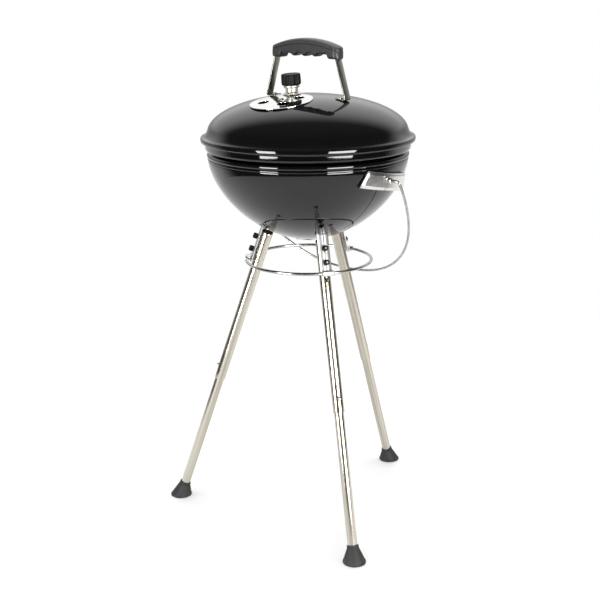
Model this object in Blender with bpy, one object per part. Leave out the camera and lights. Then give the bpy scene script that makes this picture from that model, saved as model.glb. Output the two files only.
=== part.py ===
"""Portable kettle charcoal grill on three telescopic legs.

Metres, +Z up. The grill stands on z = 0 and the origin is at the middle of its footprint.
X runs through the two bail pivots, -Y is the side of the lid damper and +Y the rear leg.
"""
from math import asin, atan2, cos, pi, radians, sin, sqrt, tan, tau

import bmesh
import bpy
from mathutils import Euler, Matrix, Vector

# ---------------------------------------------------------------- clearances
GAP = 0.0003            # between pieces that seat on each other
HOLE_GAP = 0.0004       # round a shank in its hole
WELD = 0.000001         # distance for merging doubled points

# ---------------------------------------------------------------- kettle
SEAT_Z = 0.7215         # height of the lid flange above the ground
SHEET = 0.0015          # bowl and lid sheet
ROUND = 32              # facets round the kettle
TUBE_ROUND = 16         # facets round a leg tube
SMALL_ROUND = 10        # facets round a bolt, nut or hole

LID_RADIUS = 0.195      # flange edge
DOME_RADIUS = 0.1818
DOME_START = 0.0124     # dome foot above the flange plane
DOME_HEIGHT = 0.0633
DOME_POWER_R = 2.07
DOME_POWER_Z = 1.83
FLANGE_THICK = 0.003
SKIRT_TOP_RADIUS = 0.1875
SKIRT_END_RADIUS = 0.1835
SKIRT_DROP = 0.0215
SKIRT_SHEET = 0.0018
SHOULDER_DROP = 0.0027  # inside ledge of the lid, below the flange plane

COLLAR_TOP_RADIUS = 0.1825
COLLAR_MID_RADIUS = 0.1800
NECK_RADIUS = 0.1766
COLLAR_MID_DROP = 0.012
NECK_TOP_DROP = 0.0235
BEAD_DROP = 0.0337
BEAD_HALF_HEIGHT = 0.0072
BEAD_CORE_RADIUS = 0.1778
BEAD_BULGE = 0.0060
GROOVE_RADIUS = 0.1795
GROOVE_DROP = 0.0415
BOWL_RADIUS = 0.1825
BOWL_TOP_DROP = 0.0337
BOWL_DEPTH = 0.155
BOWL_POWER_R = 1.8
BOWL_POWER_Z = 1.69
BOWL_START_ANGLE = radians(7)

# ---------------------------------------------------------------- lid damper and knob
DAMPER_OFFSET = 0.072   # damper centre in front of the kettle axis
DAMPER_RADIUS = 0.056
DAMPER_SAG = 0.003
DAMPER_SHEET = 0.001
VENT_RADIUS = 0.010
VENT_CIRCLE = 0.0315
VENT_AZIMUTHS = (radians(-133), radians(-43), radians(47))
RIVET_SHANK = 0.0026
RIVET_HEAD = 0.0055
RIVET_HEAD_HEIGHT = 0.0020
RIVET_TAIL = 0.0045
RIVET_TAIL_HEIGHT = 0.0015
KNOB_CIRCLE = 0.0456    # knob axis from the damper centre
KNOB_AZIMUTH = radians(110)
PEDESTAL_RADIUS = 0.015
PEDESTAL_WAIST = 0.0107
PEDESTAL_HEIGHT = 0.016
KNOB_RADIUS = 0.016
KNOB_HEIGHT = 0.021
KNOB_RIBS = 14
KNOB_RIB_DEPTH = 0.0008

# ---------------------------------------------------------------- lid handle
GRIP_HALF = 0.0765
GRIP_DEPTH = 0.026
GRIP_CROWN = 0.1741     # crown above the flange plane
GRIP_END_TOP = 0.1590
GRIP_BLOCK_BOTTOM = 0.139
GRIP_BLOCK_INNER = 0.056
GRIP_UNDERSIDE = 0.1465
GRIP_TOOTH = 0.0035
GRIP_TEETH_PITCH = 0.024
STRAP_WIDTH = 0.015
STRAP_THICK = 0.0018
STRAP_TOP_X = 0.0672
STRAP_TOP = 0.1511      # strap end inside the grip, above the flange plane
STRAP_FOOT_X = 0.091
STRAP_FOOT_RISE = 0.0055
TAB_END_X = 0.0705
TAB_BEND_X = 0.0868
TAB_GAP = 0.0005
TAB_SCREW_X = 0.0775
SCREW_SHANK = 0.0020
SCREW_HEAD = 0.0042
SCREW_HEAD_HEIGHT = 0.0022
SCREW_LENGTH = 0.0085

# ---------------------------------------------------------------- bail handle
PIVOT_Z = 0.659
BAIL_HALF = 0.2035
BAIL_DEPTH = 0.242
BAIL_POWER = 2.22
BAIL_WIRE = 0.00225     # wire radius
BAIL_BEND = 0.006
BAIL_PIN_END = 0.1785
PLATE_TOP_RADIUS = 0.1863
PLATE_BOTTOM_RADIUS = 0.1807
PLATE_HEIGHT = 0.032
PLATE_TOP_HALF = 0.057
PLATE_BOTTOM_HALF = 0.067
PLATE_TILT = radians(9)
PLATE_SHEET = 0.0015
PLATE_DROP = 0.002      # plate middle below the pivot
FERRULE_RADIUS = 0.0048
FERRULE_LENGTH = 0.0042

# ---------------------------------------------------------------- legs
LEG_SPLAY = radians(18.87)
LEG_AZIMUTHS = {"front_left": radians(-146.94), "front_right": radians(-33.06), "rear": radians(90)}
FOOT_CIRCLE = 0.2622    # leg axis from the kettle axis at the ground
UPPER_TUBE = 0.0103
LOWER_TUBE = 0.0088
TUBE_WALL = 0.0010
UPPER_START = 0.265     # stations are measured along the leg axis from the ground
UPPER_END = 0.572
LOWER_START = 0.0070
LOWER_END = 0.310
BUTTON_STATION = 0.290
LEG_TRAVEL = 0.212
BUTTON_RADIUS = 0.0036
BUTTON_STANDOUT = 0.0037
SPRING_HALF_WIDTH = 0.003
SPRING_SHEET = 0.0006
PLUG_LENGTH = 0.0085
PLUG_HEAD = 0.0042
BOLT_STATIONS = {"upper": 0.5585, "lower": 0.533}
BOLT_SHANK = 0.0020
BOLT_HEAD = 0.0038
BOLT_HEAD_HEIGHT = 0.0034
NUT_RADIUS = 0.0050
NUT_LENGTH = 0.0080
STRIP_OFFSET = 0.0137   # inner face of the bracket strip from the leg axis
STRIP_THICK = 0.0018
STRIP_WIDTH = 0.021
STRIP_START = 0.5105
STRIP_END = 0.600
BOSS_RADIUS = 0.0040
FOOT_RADIUS = 0.021
FOOT_EDGE = 0.0035
FOOT_TOP = 0.030
FOOT_COLLAR = 0.0107
FOOT_COLLAR_HEIGHT = 0.006
FOOT_FLARE = 0.0006

# ---------------------------------------------------------------- leg ring
RING_Z = 0.4924
RING_RADIUS = 0.1164
RING_WIRE = 0.0025
RING_ROUND = 40         # facets round the ring
CLIP_WALL = 0.0014
CLIP_HALF_WIDTH = 0.011

# ---------------------------------------------------------------- inside the kettle
CHARCOAL_GRATE_Z = 0.594
COOKING_GRATE_Z = 0.686
COOKING_GRATE_RADIUS = 0.1715
GRATE_THICK = 0.004
GRATE_RIM = 0.010
GRATE_SLOT = 0.011
GRATE_BAR = 0.007
REST_DEPTH = 0.011
REST_WIDTH = 0.012
REST_THICK = 0.002
REST_AZIMUTHS = (radians(30), radians(150), radians(270))
BOWL_DAMPER_RADIUS = 0.030
BOWL_VENT_RADIUS = 0.0055
BOWL_VENT_CIRCLE = 0.018
LEVER_END = 0.052
LEVER_WIDTH = 0.010

REAR_EXTENT = FOOT_CIRCLE + FOOT_RADIUS
AXIS_Y = (LID_RADIUS - REAR_EXTENT) / 2  # kettle axis, so that the footprint is centred

FINISHES = {
    "porcelain": ((0.012, 0.012, 0.013), 0.12, 0.0),
    "chrome": ((0.72, 0.72, 0.70), 0.10, 1.0),
    "brushed_steel": ((0.62, 0.60, 0.56), 0.25, 1.0),
    "strap_steel": ((0.25, 0.23, 0.19), 0.35, 1.0),
    "grip_plastic": ((0.075, 0.075, 0.075), 0.50, 0.0),
    "knob_plastic": ((0.012, 0.012, 0.012), 0.35, 0.0),
    "nut_plastic": ((0.015, 0.015, 0.015), 0.40, 0.0),
    "foot_rubber": ((0.030, 0.030, 0.030), 0.60, 0.0),
    "grate_wire": ((0.60, 0.60, 0.58), 0.25, 1.0),
    "spring_steel": ((0.45, 0.45, 0.45), 0.30, 1.0),
}


# ---------------------------------------------------------------- scene helpers
def clear_scene():
    """Remove every object of the open file."""
    for old in list(bpy.data.objects):
        bpy.data.objects.remove(old, do_unlink=True)


def make_finish(name):
    """Return the Principled material of that name."""
    found = bpy.data.materials.get(name)
    if found:
        return found
    color, roughness, metallic = FINISHES[name]
    material = bpy.data.materials.new(name)
    material.use_nodes = True
    shader = material.node_tree.nodes["Principled BSDF"]
    shader.inputs["Base Color"].default_value = (*color, 1.0)
    shader.inputs["Roughness"].default_value = roughness
    shader.inputs["Metallic"].default_value = metallic
    return material


def make_empty(name, parent=None, location=(0, 0, 0), rotation=(0, 0, 0)):
    """Add an empty that carries other pieces."""
    empty = bpy.data.objects.new(name, None)
    bpy.context.scene.collection.objects.link(empty)
    empty.parent = parent
    empty.location = location
    empty.rotation_euler = rotation
    return empty


def make_piece(name, bm, parent, finish=None, location=(0, 0, 0), rotation=(0, 0, 0), sharp=32):
    """Turn a bmesh into an object; a piece without a finish is a cutter."""
    bmesh.ops.remove_doubles(bm, verts=bm.verts, dist=WELD)
    bmesh.ops.recalc_face_normals(bm, faces=bm.faces)
    mesh = bpy.data.meshes.new(name)
    bm.to_mesh(mesh)
    bm.free()
    mesh.shade_smooth()
    mesh.set_sharp_from_angle(angle=radians(sharp))
    piece = bpy.data.objects.new(name, mesh)
    bpy.context.scene.collection.objects.link(piece)
    piece.parent = parent
    piece.location = location
    piece.rotation_euler = rotation
    if finish:
        mesh.materials.append(make_finish(finish))
    else:
        piece.hide_render = True
        piece.display_type = "WIRE"
    return piece


def combine(target, tool, operation):
    """Cut a tool out of a piece, or join it on."""
    step = target.modifiers.new(tool.name, "BOOLEAN")
    step.operation = operation
    step.object = tool


# ---------------------------------------------------------------- mesh helpers
def turned(outline, steps=ROUND, loop=False):
    """Spin an outline of (radius, z) points round Z; a loop outline is a closed ring section."""
    bm = bmesh.new()
    points = [bm.verts.new((radius, 0, z)) for radius, z in outline]
    edges = [bm.edges.new(pair) for pair in zip(points, points[1:])]
    if loop:
        edges.append(bm.edges.new((points[-1], points[0])))
    bmesh.ops.spin(bm, geom=points + edges, cent=(0, 0, 0), axis=(0, 0, 1), angle=tau, steps=steps,
                   use_merge=True)
    return bm


def lofted(rings):
    """Skin a row of rings that have equal point counts, and cap both ends."""
    bm = bmesh.new()
    rows = [[bm.verts.new(point) for point in ring] for ring in rings]
    for low, high in zip(rows, rows[1:]):
        for here in range(len(low)):
            there = (here + 1) % len(low)
            bm.faces.new((low[here], low[there], high[there], high[here]))
    bm.faces.new(list(reversed(rows[0])))
    bm.faces.new(rows[-1])
    return bm


def box(low, high):
    """Return a box between two corners."""
    (x0, y0, z0), (x1, y1, z1) = low, high
    return lofted([[(x0, y0, z), (x1, y0, z), (x1, y1, z), (x0, y1, z)] for z in (z0, z1)])


def merged(parts):
    """Put several bmeshes into one, for cutters made of separate solids."""
    whole = bmesh.new()
    for part in parts:
        part.normal_update()
        scrap = bpy.data.meshes.new("scrap")
        part.to_mesh(scrap)
        part.free()
        whole.from_mesh(scrap)
        bpy.data.meshes.remove(scrap)
    return whole


def rod(start, end, radius, sides=SMALL_ROUND):
    """Return a straight round rod between two points."""
    return swept([Vector(start), Vector(end)], radius, sides)


def swept(path, radius, sides=6):
    """Sweep a circle along a planar or straight path of vectors."""
    rings = []
    side = None
    for index, point in enumerate(path):
        before = path[max(index - 1, 0)]
        after = path[min(index + 1, len(path) - 1)]
        along = (after - before).normalized()
        if side is None:
            side = along.orthogonal().normalized()
        side = (side - along * side.dot(along)).normalized()
        up = along.cross(side)
        rings.append([point + (side * cos(tau * k / sides) + up * sin(tau * k / sides)) * radius
                      for k in range(sides)])
    return lofted(rings)


def ribbon(line, thickness, half_width):
    """Return a flat strip whose middle follows (x, z) points and whose width lies along Y."""
    left = offset_line(line, thickness / 2)
    right = offset_line(line, -thickness / 2)
    outline = left + right[::-1]
    return lofted([[(x, y, z) for x, z in outline] for y in (-half_width, half_width)])


def offset_line(line, distance):
    """Shift a line of 2-D points to its left by a distance, with mitred corners."""
    shifted = []
    for index, (px, pz) in enumerate(line):
        normals = []
        for start, end in ((index - 1, index), (index, index + 1)):
            if start < 0 or end >= len(line):
                continue
            dx, dz = line[end][0] - line[start][0], line[end][1] - line[start][1]
            length = sqrt(dx * dx + dz * dz)
            normals.append((-dz / length, dx / length))
        nx = sum(n[0] for n in normals) / len(normals)
        nz = sum(n[1] for n in normals) / len(normals)
        scale = distance / (nx * nx + nz * nz)
        shifted.append((px + nx * scale, pz + nz * scale))
    return shifted


def radius_at(outline, z):
    """Radius of a falling (radius, z) outline at a height."""
    for (r0, z0), (r1, z1) in zip(outline, outline[1:]):
        if z1 <= z <= z0 and z0 > z1:
            return r0 + (r1 - r0) * (z0 - z) / (z0 - z1)
    return outline[-1][0]


def height_at(outline, radius):
    """Height of a (radius, z) outline that runs in to the axis, at a radius."""
    for (r0, z0), (r1, z1) in zip(outline[::-1], outline[-2::-1]):
        if r0 <= radius <= r1:
            return z0 + (z1 - z0) * (radius - r0) / (r1 - r0)
    return outline[0][1]


# ---------------------------------------------------------------- kettle outlines
def dome_height(radius):
    """Outer height of the lid at a radius."""
    share = max(0.0, 1 - (radius / DOME_RADIUS) ** DOME_POWER_R)
    return SEAT_Z + DOME_START + DOME_HEIGHT * share ** (1 / DOME_POWER_Z)


def dome_slope(radius):
    """Fall of the lid surface per metre of radius, as an angle."""
    step = 0.0005
    return atan2(dome_height(radius - step) - dome_height(radius + step), 2 * step)


def dome_line(steps):
    """Outer dome points from the apex to its foot."""
    line = []
    for index in range(steps + 1):
        angle = pi / 2 * (1 - index / steps)
        radius = DOME_RADIUS * cos(angle) ** (2 / DOME_POWER_R)
        z = SEAT_Z + DOME_START + DOME_HEIGHT * sin(angle) ** (2 / DOME_POWER_Z)
        line.append((0.0 if index == 0 else radius, z))
    return line


def lid_outline():
    """Closed section of the lid from its outer apex round the skirt to its inner apex."""
    dome = dome_line(8)
    inner = offset_line(dome, -SHEET)
    inner[0] = (0.0, inner[0][1])
    rim = [(DOME_RADIUS + 0.0004, SEAT_Z + 0.008), (DOME_RADIUS + 0.0022, SEAT_Z + 0.0045),
           (LID_RADIUS - 0.005, SEAT_Z + FLANGE_THICK * 0.75), (LID_RADIUS - 0.001, SEAT_Z + FLANGE_THICK / 2),
           (LID_RADIUS, SEAT_Z), (LID_RADIUS - 0.0015, SEAT_Z - FLANGE_THICK / 2),
           (SKIRT_TOP_RADIUS + 0.001, SEAT_Z - FLANGE_THICK), (SKIRT_TOP_RADIUS, SEAT_Z - 2 * FLANGE_THICK)]
    skirt = [(SKIRT_END_RADIUS, SEAT_Z - SKIRT_DROP), (SKIRT_END_RADIUS - SKIRT_SHEET, SEAT_Z - SKIRT_DROP),
             (SKIRT_TOP_RADIUS - SKIRT_SHEET, SEAT_Z - 0.0055)]
    ledge = [(SKIRT_TOP_RADIUS - SKIRT_SHEET - 0.0008, SEAT_Z - SHOULDER_DROP),
             (DOME_RADIUS - SHEET, SEAT_Z - SHOULDER_DROP)]
    return dome + rim + skirt + ledge + inner[:0:-1] + [inner[0]]


def bowl_line():
    """Outer bowl points from the lip down to the pole."""
    lip_z = SEAT_Z - SHOULDER_DROP - GAP
    line = [(COLLAR_TOP_RADIUS, lip_z), (COLLAR_MID_RADIUS, SEAT_Z - COLLAR_MID_DROP),
            (NECK_RADIUS, SEAT_Z - NECK_TOP_DROP)]
    for angle in (75, 30, -30, -75):
        line.append((BEAD_CORE_RADIUS + BEAD_BULGE * cos(radians(angle)),
                     SEAT_Z - BEAD_DROP + BEAD_HALF_HEIGHT * sin(radians(angle))))
    line.append((GROOVE_RADIUS, SEAT_Z - GROOVE_DROP))
    steps = 9
    for index in range(steps + 1):
        angle = BOWL_START_ANGLE + (pi / 2 - BOWL_START_ANGLE) * index / steps
        radius = BOWL_RADIUS * max(cos(angle), 0.0) ** (2 / BOWL_POWER_R)
        z = SEAT_Z - BOWL_TOP_DROP - BOWL_DEPTH * sin(angle) ** (2 / BOWL_POWER_Z)
        line.append((0.0 if index == steps else radius, z))
    return line


BOWL_LINE = bowl_line()
BOWL_INNER = offset_line(BOWL_LINE, -SHEET)
BOWL_INNER[0] = (BOWL_INNER[0][0], BOWL_LINE[0][1])
BOWL_INNER[-1] = (0.0, BOWL_LINE[-1][1] + SHEET)
BOWL_POLE = BOWL_LINE[-1][1]


def make_bowl_envelope(kettle):
    """Cutter that trims what is welded to the bowl, one seating gap outside it."""
    skin = offset_line(BOWL_LINE, GAP)
    skin[-1] = (0.0, BOWL_POLE - GAP)
    return make_piece("bowl_envelope", turned([(0.0, skin[0][1])] + skin), kettle)


# ---------------------------------------------------------------- kettle pieces
def rivet_outline(stack, head_up=True):
    """Half section of a rivet through a stack of sheets, with its head at z = 0 and above."""
    head = [(0.0, RIVET_HEAD_HEIGHT), (RIVET_HEAD * 0.6, RIVET_HEAD_HEIGHT * 0.85),
            (RIVET_HEAD, RIVET_HEAD_HEIGHT * 0.3), (RIVET_HEAD, 0.0), (RIVET_SHANK, 0.0)]
    tail = [(RIVET_SHANK, -stack), (RIVET_TAIL, -stack), (RIVET_TAIL, -stack - RIVET_TAIL_HEIGHT * 0.6),
            (RIVET_TAIL * 0.6, -stack - RIVET_TAIL_HEIGHT), (0.0, -stack - RIVET_TAIL_HEIGHT)]
    outline = head + tail
    return outline if head_up else [(radius, -z) for radius, z in outline]


def make_bowl(kettle):
    """Bowl with its collar, bead and three vent holes at the pole."""
    outline = BOWL_LINE[::-1] + BOWL_INNER
    bowl = make_piece("bowl", turned(outline), kettle, "porcelain")
    holes = []
    low, high = BOWL_POLE - 0.01, BOWL_POLE + 0.01
    for turn in range(3):
        angle = tau * turn / 3
        x, y = BOWL_VENT_CIRCLE * cos(angle), BOWL_VENT_CIRCLE * sin(angle)
        holes.append(rod((x, y, low), (x, y, high), BOWL_VENT_RADIUS))
    holes.append(rod((0, 0, low), (0, 0, high), RIVET_SHANK + HOLE_GAP))
    cutter = make_piece("bowl_holes", merged(holes), kettle)
    combine(bowl, cutter, "DIFFERENCE")


def make_bowl_damper(kettle):
    """Dished disc with a lever under the bowl, and the rivet it turns on."""
    rise = radius_height(BOWL_DAMPER_RADIUS) - BOWL_POLE
    top = []
    for index in range(4):
        radius = BOWL_DAMPER_RADIUS * index / 3
        top.append((radius, rise * (index / 3) ** 2 - GAP))
    outline = top + [(radius, z - DAMPER_SHEET) for radius, z in reversed(top)]
    damper = make_piece("bowl_damper", turned(outline, 20), kettle, "chrome", (0, 0, BOWL_POLE))
    edge = top[-1][1]
    lever = box((-LEVER_WIDTH / 2, BOWL_DAMPER_RADIUS * 0.9, edge - DAMPER_SHEET + 0.0001),
                (LEVER_WIDTH / 2, LEVER_END, edge - 0.0001))
    combine(damper, make_piece("bowl_lever", lever, kettle, None, (0, 0, BOWL_POLE)), "UNION")
    holes = [rod((0, 0, -0.01), (0, 0, 0.01), RIVET_SHANK + HOLE_GAP)]
    for turn in range(3):
        angle = tau * turn / 3
        x, y = BOWL_VENT_CIRCLE * cos(angle), BOWL_VENT_CIRCLE * sin(angle)
        holes.append(rod((x, y, -0.01), (x, y, 0.01), BOWL_VENT_RADIUS))
    cutter = make_piece("bowl_damper_holes", merged(holes), kettle, None, (0, 0, BOWL_POLE))
    combine(damper, cutter, "DIFFERENCE")
    head_z = BOWL_POLE - DAMPER_SHEET - 2 * GAP
    stack = height_at(BOWL_INNER, RIVET_TAIL) + GAP - head_z
    make_piece("bowl_damper_rivet", turned(rivet_outline(stack, False), SMALL_ROUND), kettle, "chrome", (0, 0, head_z))


def radius_height(radius):
    """Outer height of the bowl at a radius below its bead."""
    share = 1 - (radius / BOWL_RADIUS) ** BOWL_POWER_R
    return SEAT_Z - BOWL_TOP_DROP - BOWL_DEPTH * share ** (1 / BOWL_POWER_Z)


def make_grate(name, parent, radius, z, slots_along_x):
    """Round grate: a plate with a rim and parallel slots between its bars."""
    grate = make_piece(name, turned([(0.0, z + GRATE_THICK), (radius, z + GRATE_THICK), (radius, z), (0.0, z)]),
                       parent, "grate_wire")
    pitch = GRATE_SLOT + GRATE_BAR
    count = int((radius - GRATE_RIM) / pitch)
    slots = []
    for index in range(-count, count + 1):
        middle = index * pitch
        reach = sqrt((radius - GRATE_RIM) ** 2 - (abs(middle) + GRATE_SLOT / 2) ** 2) \
            if abs(middle) + GRATE_SLOT / 2 < radius - GRATE_RIM - 0.01 else 0
        if not reach:
            continue
        low = (-reach, middle - GRATE_SLOT / 2, z - 0.001)
        high = (reach, middle + GRATE_SLOT / 2, z + GRATE_THICK + 0.001)
        if not slots_along_x:
            low, high = (low[1], low[0], low[2]), (high[1], high[0], high[2])
        slots.append(box(low, high))
    combine(grate, make_piece(name + "_slots", merged(slots), parent), "DIFFERENCE")


def make_grates(kettle):
    """Charcoal grate low in the bowl, cooking grate on three rests near its mouth."""
    charcoal_radius = radius_at(BOWL_INNER, CHARCOAL_GRATE_Z) - 2 * GAP
    make_grate("charcoal_grate", kettle, charcoal_radius, CHARCOAL_GRATE_Z, True)
    make_grate("cooking_grate", kettle, COOKING_GRATE_RADIUS, COOKING_GRATE_Z, False)
    rest_top = COOKING_GRATE_Z - GAP
    wall = min(radius_at(BOWL_INNER, rest_top - REST_DEPTH / 2 * share / 8) for share in range(9))
    for index, azimuth in enumerate(REST_AZIMUTHS):
        outer = sqrt(wall ** 2 - (REST_WIDTH / 2) ** 2) * cos(pi / ROUND) - GAP
        inner = outer - REST_DEPTH
        line = [(inner, rest_top), (outer, rest_top), (outer, rest_top - REST_DEPTH / 2),
                (outer - REST_THICK, rest_top - REST_DEPTH / 2), (outer - REST_THICK, rest_top - REST_THICK),
                (inner, rest_top - REST_THICK)]
        shape = lofted([[(x, y, z) for x, z in line] for y in (-REST_WIDTH / 2, REST_WIDTH / 2)])
        make_piece(f"grate_rest_{index + 1}", shape, kettle, "brushed_steel", rotation=(0, 0, azimuth))


# ---------------------------------------------------------------- lid pieces
def damper_frame():
    """Matrix of the lid damper in the kettle frame: origin under its centre, Z along its normal."""
    slope = dome_slope(DAMPER_OFFSET)
    turn = Euler((slope, 0, 0)).to_matrix().to_4x4()
    place = Matrix.Translation((0, -DAMPER_OFFSET, dome_height(DAMPER_OFFSET))) @ turn
    lowest = 1.0
    for ring in range(5):
        radius = DAMPER_RADIUS * ring / 4
        for step in range(24):
            angle = tau * step / 24
            under = Vector((radius * cos(angle), radius * sin(angle), -dish(radius)))
            point = place @ under
            lowest = min(lowest, point.z - dome_height(sqrt(point.x ** 2 + point.y ** 2)))
    return place @ Matrix.Translation((0, 0, (GAP - lowest) * cos(slope)))


def dish(radius):
    """Fall of the damper disc from its centre to a radius."""
    return DAMPER_SAG * (radius / DAMPER_RADIUS) ** 2


def vent_places():
    """Vent centres in the damper's own plane."""
    return [(VENT_CIRCLE * cos(azimuth), VENT_CIRCLE * sin(azimuth)) for azimuth in VENT_AZIMUTHS]


def make_lid(lid_frame, place):
    """Lid shell with its vent, rivet and handle screw holes."""
    lid = make_piece("lid", turned(lid_outline()), lid_frame, "porcelain")
    holes = []
    for x, y in vent_places():
        holes.append(rod(place @ Vector((x, y, -0.03)), place @ Vector((x, y, 0.02)), VENT_RADIUS, 16))
    holes.append(rod(place @ Vector((0, 0, -0.02)), place @ Vector((0, 0, 0.01)), RIVET_SHANK + HOLE_GAP))
    for side in (-1, 1):
        start, along = screw_axis(side)
        holes.append(rod(start - along * 0.02, start + along * 0.01, SCREW_SHANK + HOLE_GAP))
    combine(lid, make_piece("lid_holes", merged(holes), lid_frame), "DIFFERENCE")


def make_lid_damper(damper):
    """Dished disc that turns over the vents, with its knob on a chromed pedestal."""
    rings = 3
    under = [(DAMPER_RADIUS * k / rings, -dish(DAMPER_RADIUS * k / rings)) for k in range(rings + 1)]
    outline = [(radius, z + DAMPER_SHEET) for radius, z in under] + under[::-1]
    disc = make_piece("lid_damper", turned(outline, 24), damper, "chrome")
    holes = [rod((x, y, -0.02), (x, y, 0.02), VENT_RADIUS, 16) for x, y in vent_places()]
    holes.append(rod((0, 0, -0.02), (0, 0, 0.02), RIVET_SHANK + HOLE_GAP))
    combine(disc, make_piece("lid_damper_holes", merged(holes), damper), "DIFFERENCE")

    lean = atan2(2 * DAMPER_SAG * KNOB_CIRCLE, DAMPER_RADIUS ** 2)
    seat = DAMPER_SHEET - dish(KNOB_CIRCLE) + GAP + 0.0002
    knob_frame = make_empty("knob_axis", damper,
                            (KNOB_CIRCLE * cos(KNOB_AZIMUTH), KNOB_CIRCLE * sin(KNOB_AZIMUTH), seat),
                            (0, lean, KNOB_AZIMUTH))
    height = PEDESTAL_HEIGHT
    pedestal = [(0.0, 0.0), (PEDESTAL_RADIUS, 0.0), (PEDESTAL_RADIUS, 0.0012), (PEDESTAL_WAIST * 1.12, 0.0045),
                (PEDESTAL_WAIST, 0.0065), (PEDESTAL_WAIST, height * 0.5), (PEDESTAL_WAIST * 0.93, height * 0.53),
                (PEDESTAL_WAIST, height * 0.56), (PEDESTAL_WAIST, height), (0.0, height)]
    make_piece("knob_pedestal", turned(pedestal, 16), knob_frame, "chrome")
    make_piece("damper_knob", knob_mesh(height + GAP), knob_frame, "knob_plastic")


def knob_mesh(base):
    """Ribbed round knob that stands on its pedestal."""
    rings = []
    for z, scale in ((0.0, 0.90), (0.0012, 1.0), (KNOB_HEIGHT - 0.002, 0.97), (KNOB_HEIGHT, 0.88)):
        ring = []
        for k in range(2 * KNOB_RIBS):
            radius = (KNOB_RADIUS - KNOB_RIB_DEPTH * (k % 2)) * scale
            ring.append((radius * cos(pi * k / KNOB_RIBS), radius * sin(pi * k / KNOB_RIBS), base + z))
        rings.append(ring)
    return lofted(rings)


def tab_height(x):
    """Middle height of the handle tab at a distance from the kettle axis."""
    return dome_height(x) + TAB_GAP + STRAP_THICK / 2


def strap_line():
    """Middle line of a handle strap from its tab end to its end inside the grip."""
    foot = tab_height(STRAP_FOOT_X)
    bend = (STRAP_FOOT_X, foot + STRAP_FOOT_RISE * 0.45)
    rise = (STRAP_FOOT_X - 0.0008, foot + STRAP_FOOT_RISE)
    return [(TAB_END_X, tab_height(TAB_END_X)), (TAB_BEND_X, tab_height(TAB_BEND_X)), bend, rise,
            (STRAP_TOP_X, SEAT_Z + STRAP_TOP)]


def screw_axis(side):
    """Seat point and direction of a handle screw, on top of its tab."""
    slope = dome_slope(TAB_SCREW_X)
    along = Vector((side * sin(slope), 0, cos(slope)))
    middle = Vector((side * TAB_SCREW_X, 0, tab_height(TAB_SCREW_X)))
    return middle + along * (STRAP_THICK / 2 + GAP), along


def make_straps(lid_frame):
    """Two flat straps with their tabs on the dome, and the screws that hold them."""
    for name, side in (("left", -1), ("right", 1)):
        line = [(side * x, z) for x, z in strap_line()]
        strap = make_piece(f"handle_strap_{name}", ribbon(line, STRAP_THICK, STRAP_WIDTH / 2), lid_frame,
                           "strap_steel")
        start, along = screw_axis(side)
        hole = rod(start - along * 0.02, start + along * 0.01, SCREW_SHANK + HOLE_GAP)
        combine(strap, make_piece(f"strap_hole_{name}", hole, lid_frame), "DIFFERENCE")
        outline = [(0.0, SCREW_HEAD_HEIGHT), (SCREW_HEAD * 0.6, SCREW_HEAD_HEIGHT * 0.85),
                   (SCREW_HEAD, SCREW_HEAD_HEIGHT * 0.25), (SCREW_HEAD, 0.0), (SCREW_SHANK, 0.0),
                   (SCREW_SHANK, -SCREW_LENGTH), (0.0, -SCREW_LENGTH)]
        make_piece(f"strap_screw_{name}", turned(outline, SMALL_ROUND), lid_frame, "chrome", start,
                   (0, side * dome_slope(TAB_SCREW_X), 0))


def grip_top(x):
    """Top of the grip at a distance from its middle: an arch."""
    share = (abs(x) / GRIP_HALF) ** 2
    return GRIP_CROWN - (GRIP_CROWN - GRIP_END_TOP) * share


def grip_bottom(x):
    """Underside of the grip: finger teeth between two end blocks."""
    if abs(x) > GRIP_BLOCK_INNER:
        return GRIP_BLOCK_BOTTOM
    tooth = GRIP_TOOTH * (0.5 + 0.5 * cos(tau * x / GRIP_TEETH_PITCH))
    fade = 1.0 if abs(x) < 1.45 * GRIP_TEETH_PITCH else 0.0
    return GRIP_UNDERSIDE - tooth * fade


def grip_stations():
    """Places along the grip: even steps, a pair at each block face, and a rounded end."""
    inside = [GRIP_BLOCK_INNER * k / 9 for k in range(-9, 10)]
    outside = [GRIP_BLOCK_INNER + 0.0006, 0.0675, 0.0722, 0.0751, GRIP_HALF]
    return [-x for x in reversed(outside)] + inside + outside


def grip_depth(x):
    """Half depth of the grip, rounded off towards its ends."""
    corner = GRIP_DEPTH / 2 * 0.7
    inset = max(0.0, abs(x) - (GRIP_HALF - corner)) / corner
    return GRIP_DEPTH / 2 - corner + corner * sqrt(max(0.0, 1 - inset ** 2)) * 0.98


def make_grip(lid_frame):
    """Moulded grip with slots for the two straps."""
    rings = []
    for x in grip_stations():
        low, high = SEAT_Z + grip_bottom(x), SEAT_Z + grip_top(x)
        middle, half = (low + high) / 2, (high - low) / 2
        ring = []
        for k in range(12):
            angle = tau * (k + 0.5) / 12
            y = grip_depth(x) * abs(cos(angle)) ** 0.45 * (1 if cos(angle) > 0 else -1)
            z = half * abs(sin(angle)) ** 0.45 * (1 if sin(angle) > 0 else -1)
            ring.append((x, y, middle + z))
        rings.append(ring)
    grip = make_piece("handle_grip", lofted(rings), lid_frame, "grip_plastic")
    for name, side in (("left", -1), ("right", 1)):
        line = [(side * x, z) for x, z in strap_line()[-2:]]
        (x0, z0), (x1, z1) = line
        longer = [(x0, z0), (x1 + (x1 - x0) * 0.005, z1 + (z1 - z0) * 0.005)]
        slot = ribbon(longer, STRAP_THICK + 2 * GAP, STRAP_WIDTH / 2 + GAP)
        combine(grip, make_piece(f"grip_slot_{name}", slot, lid_frame), "DIFFERENCE")


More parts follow.
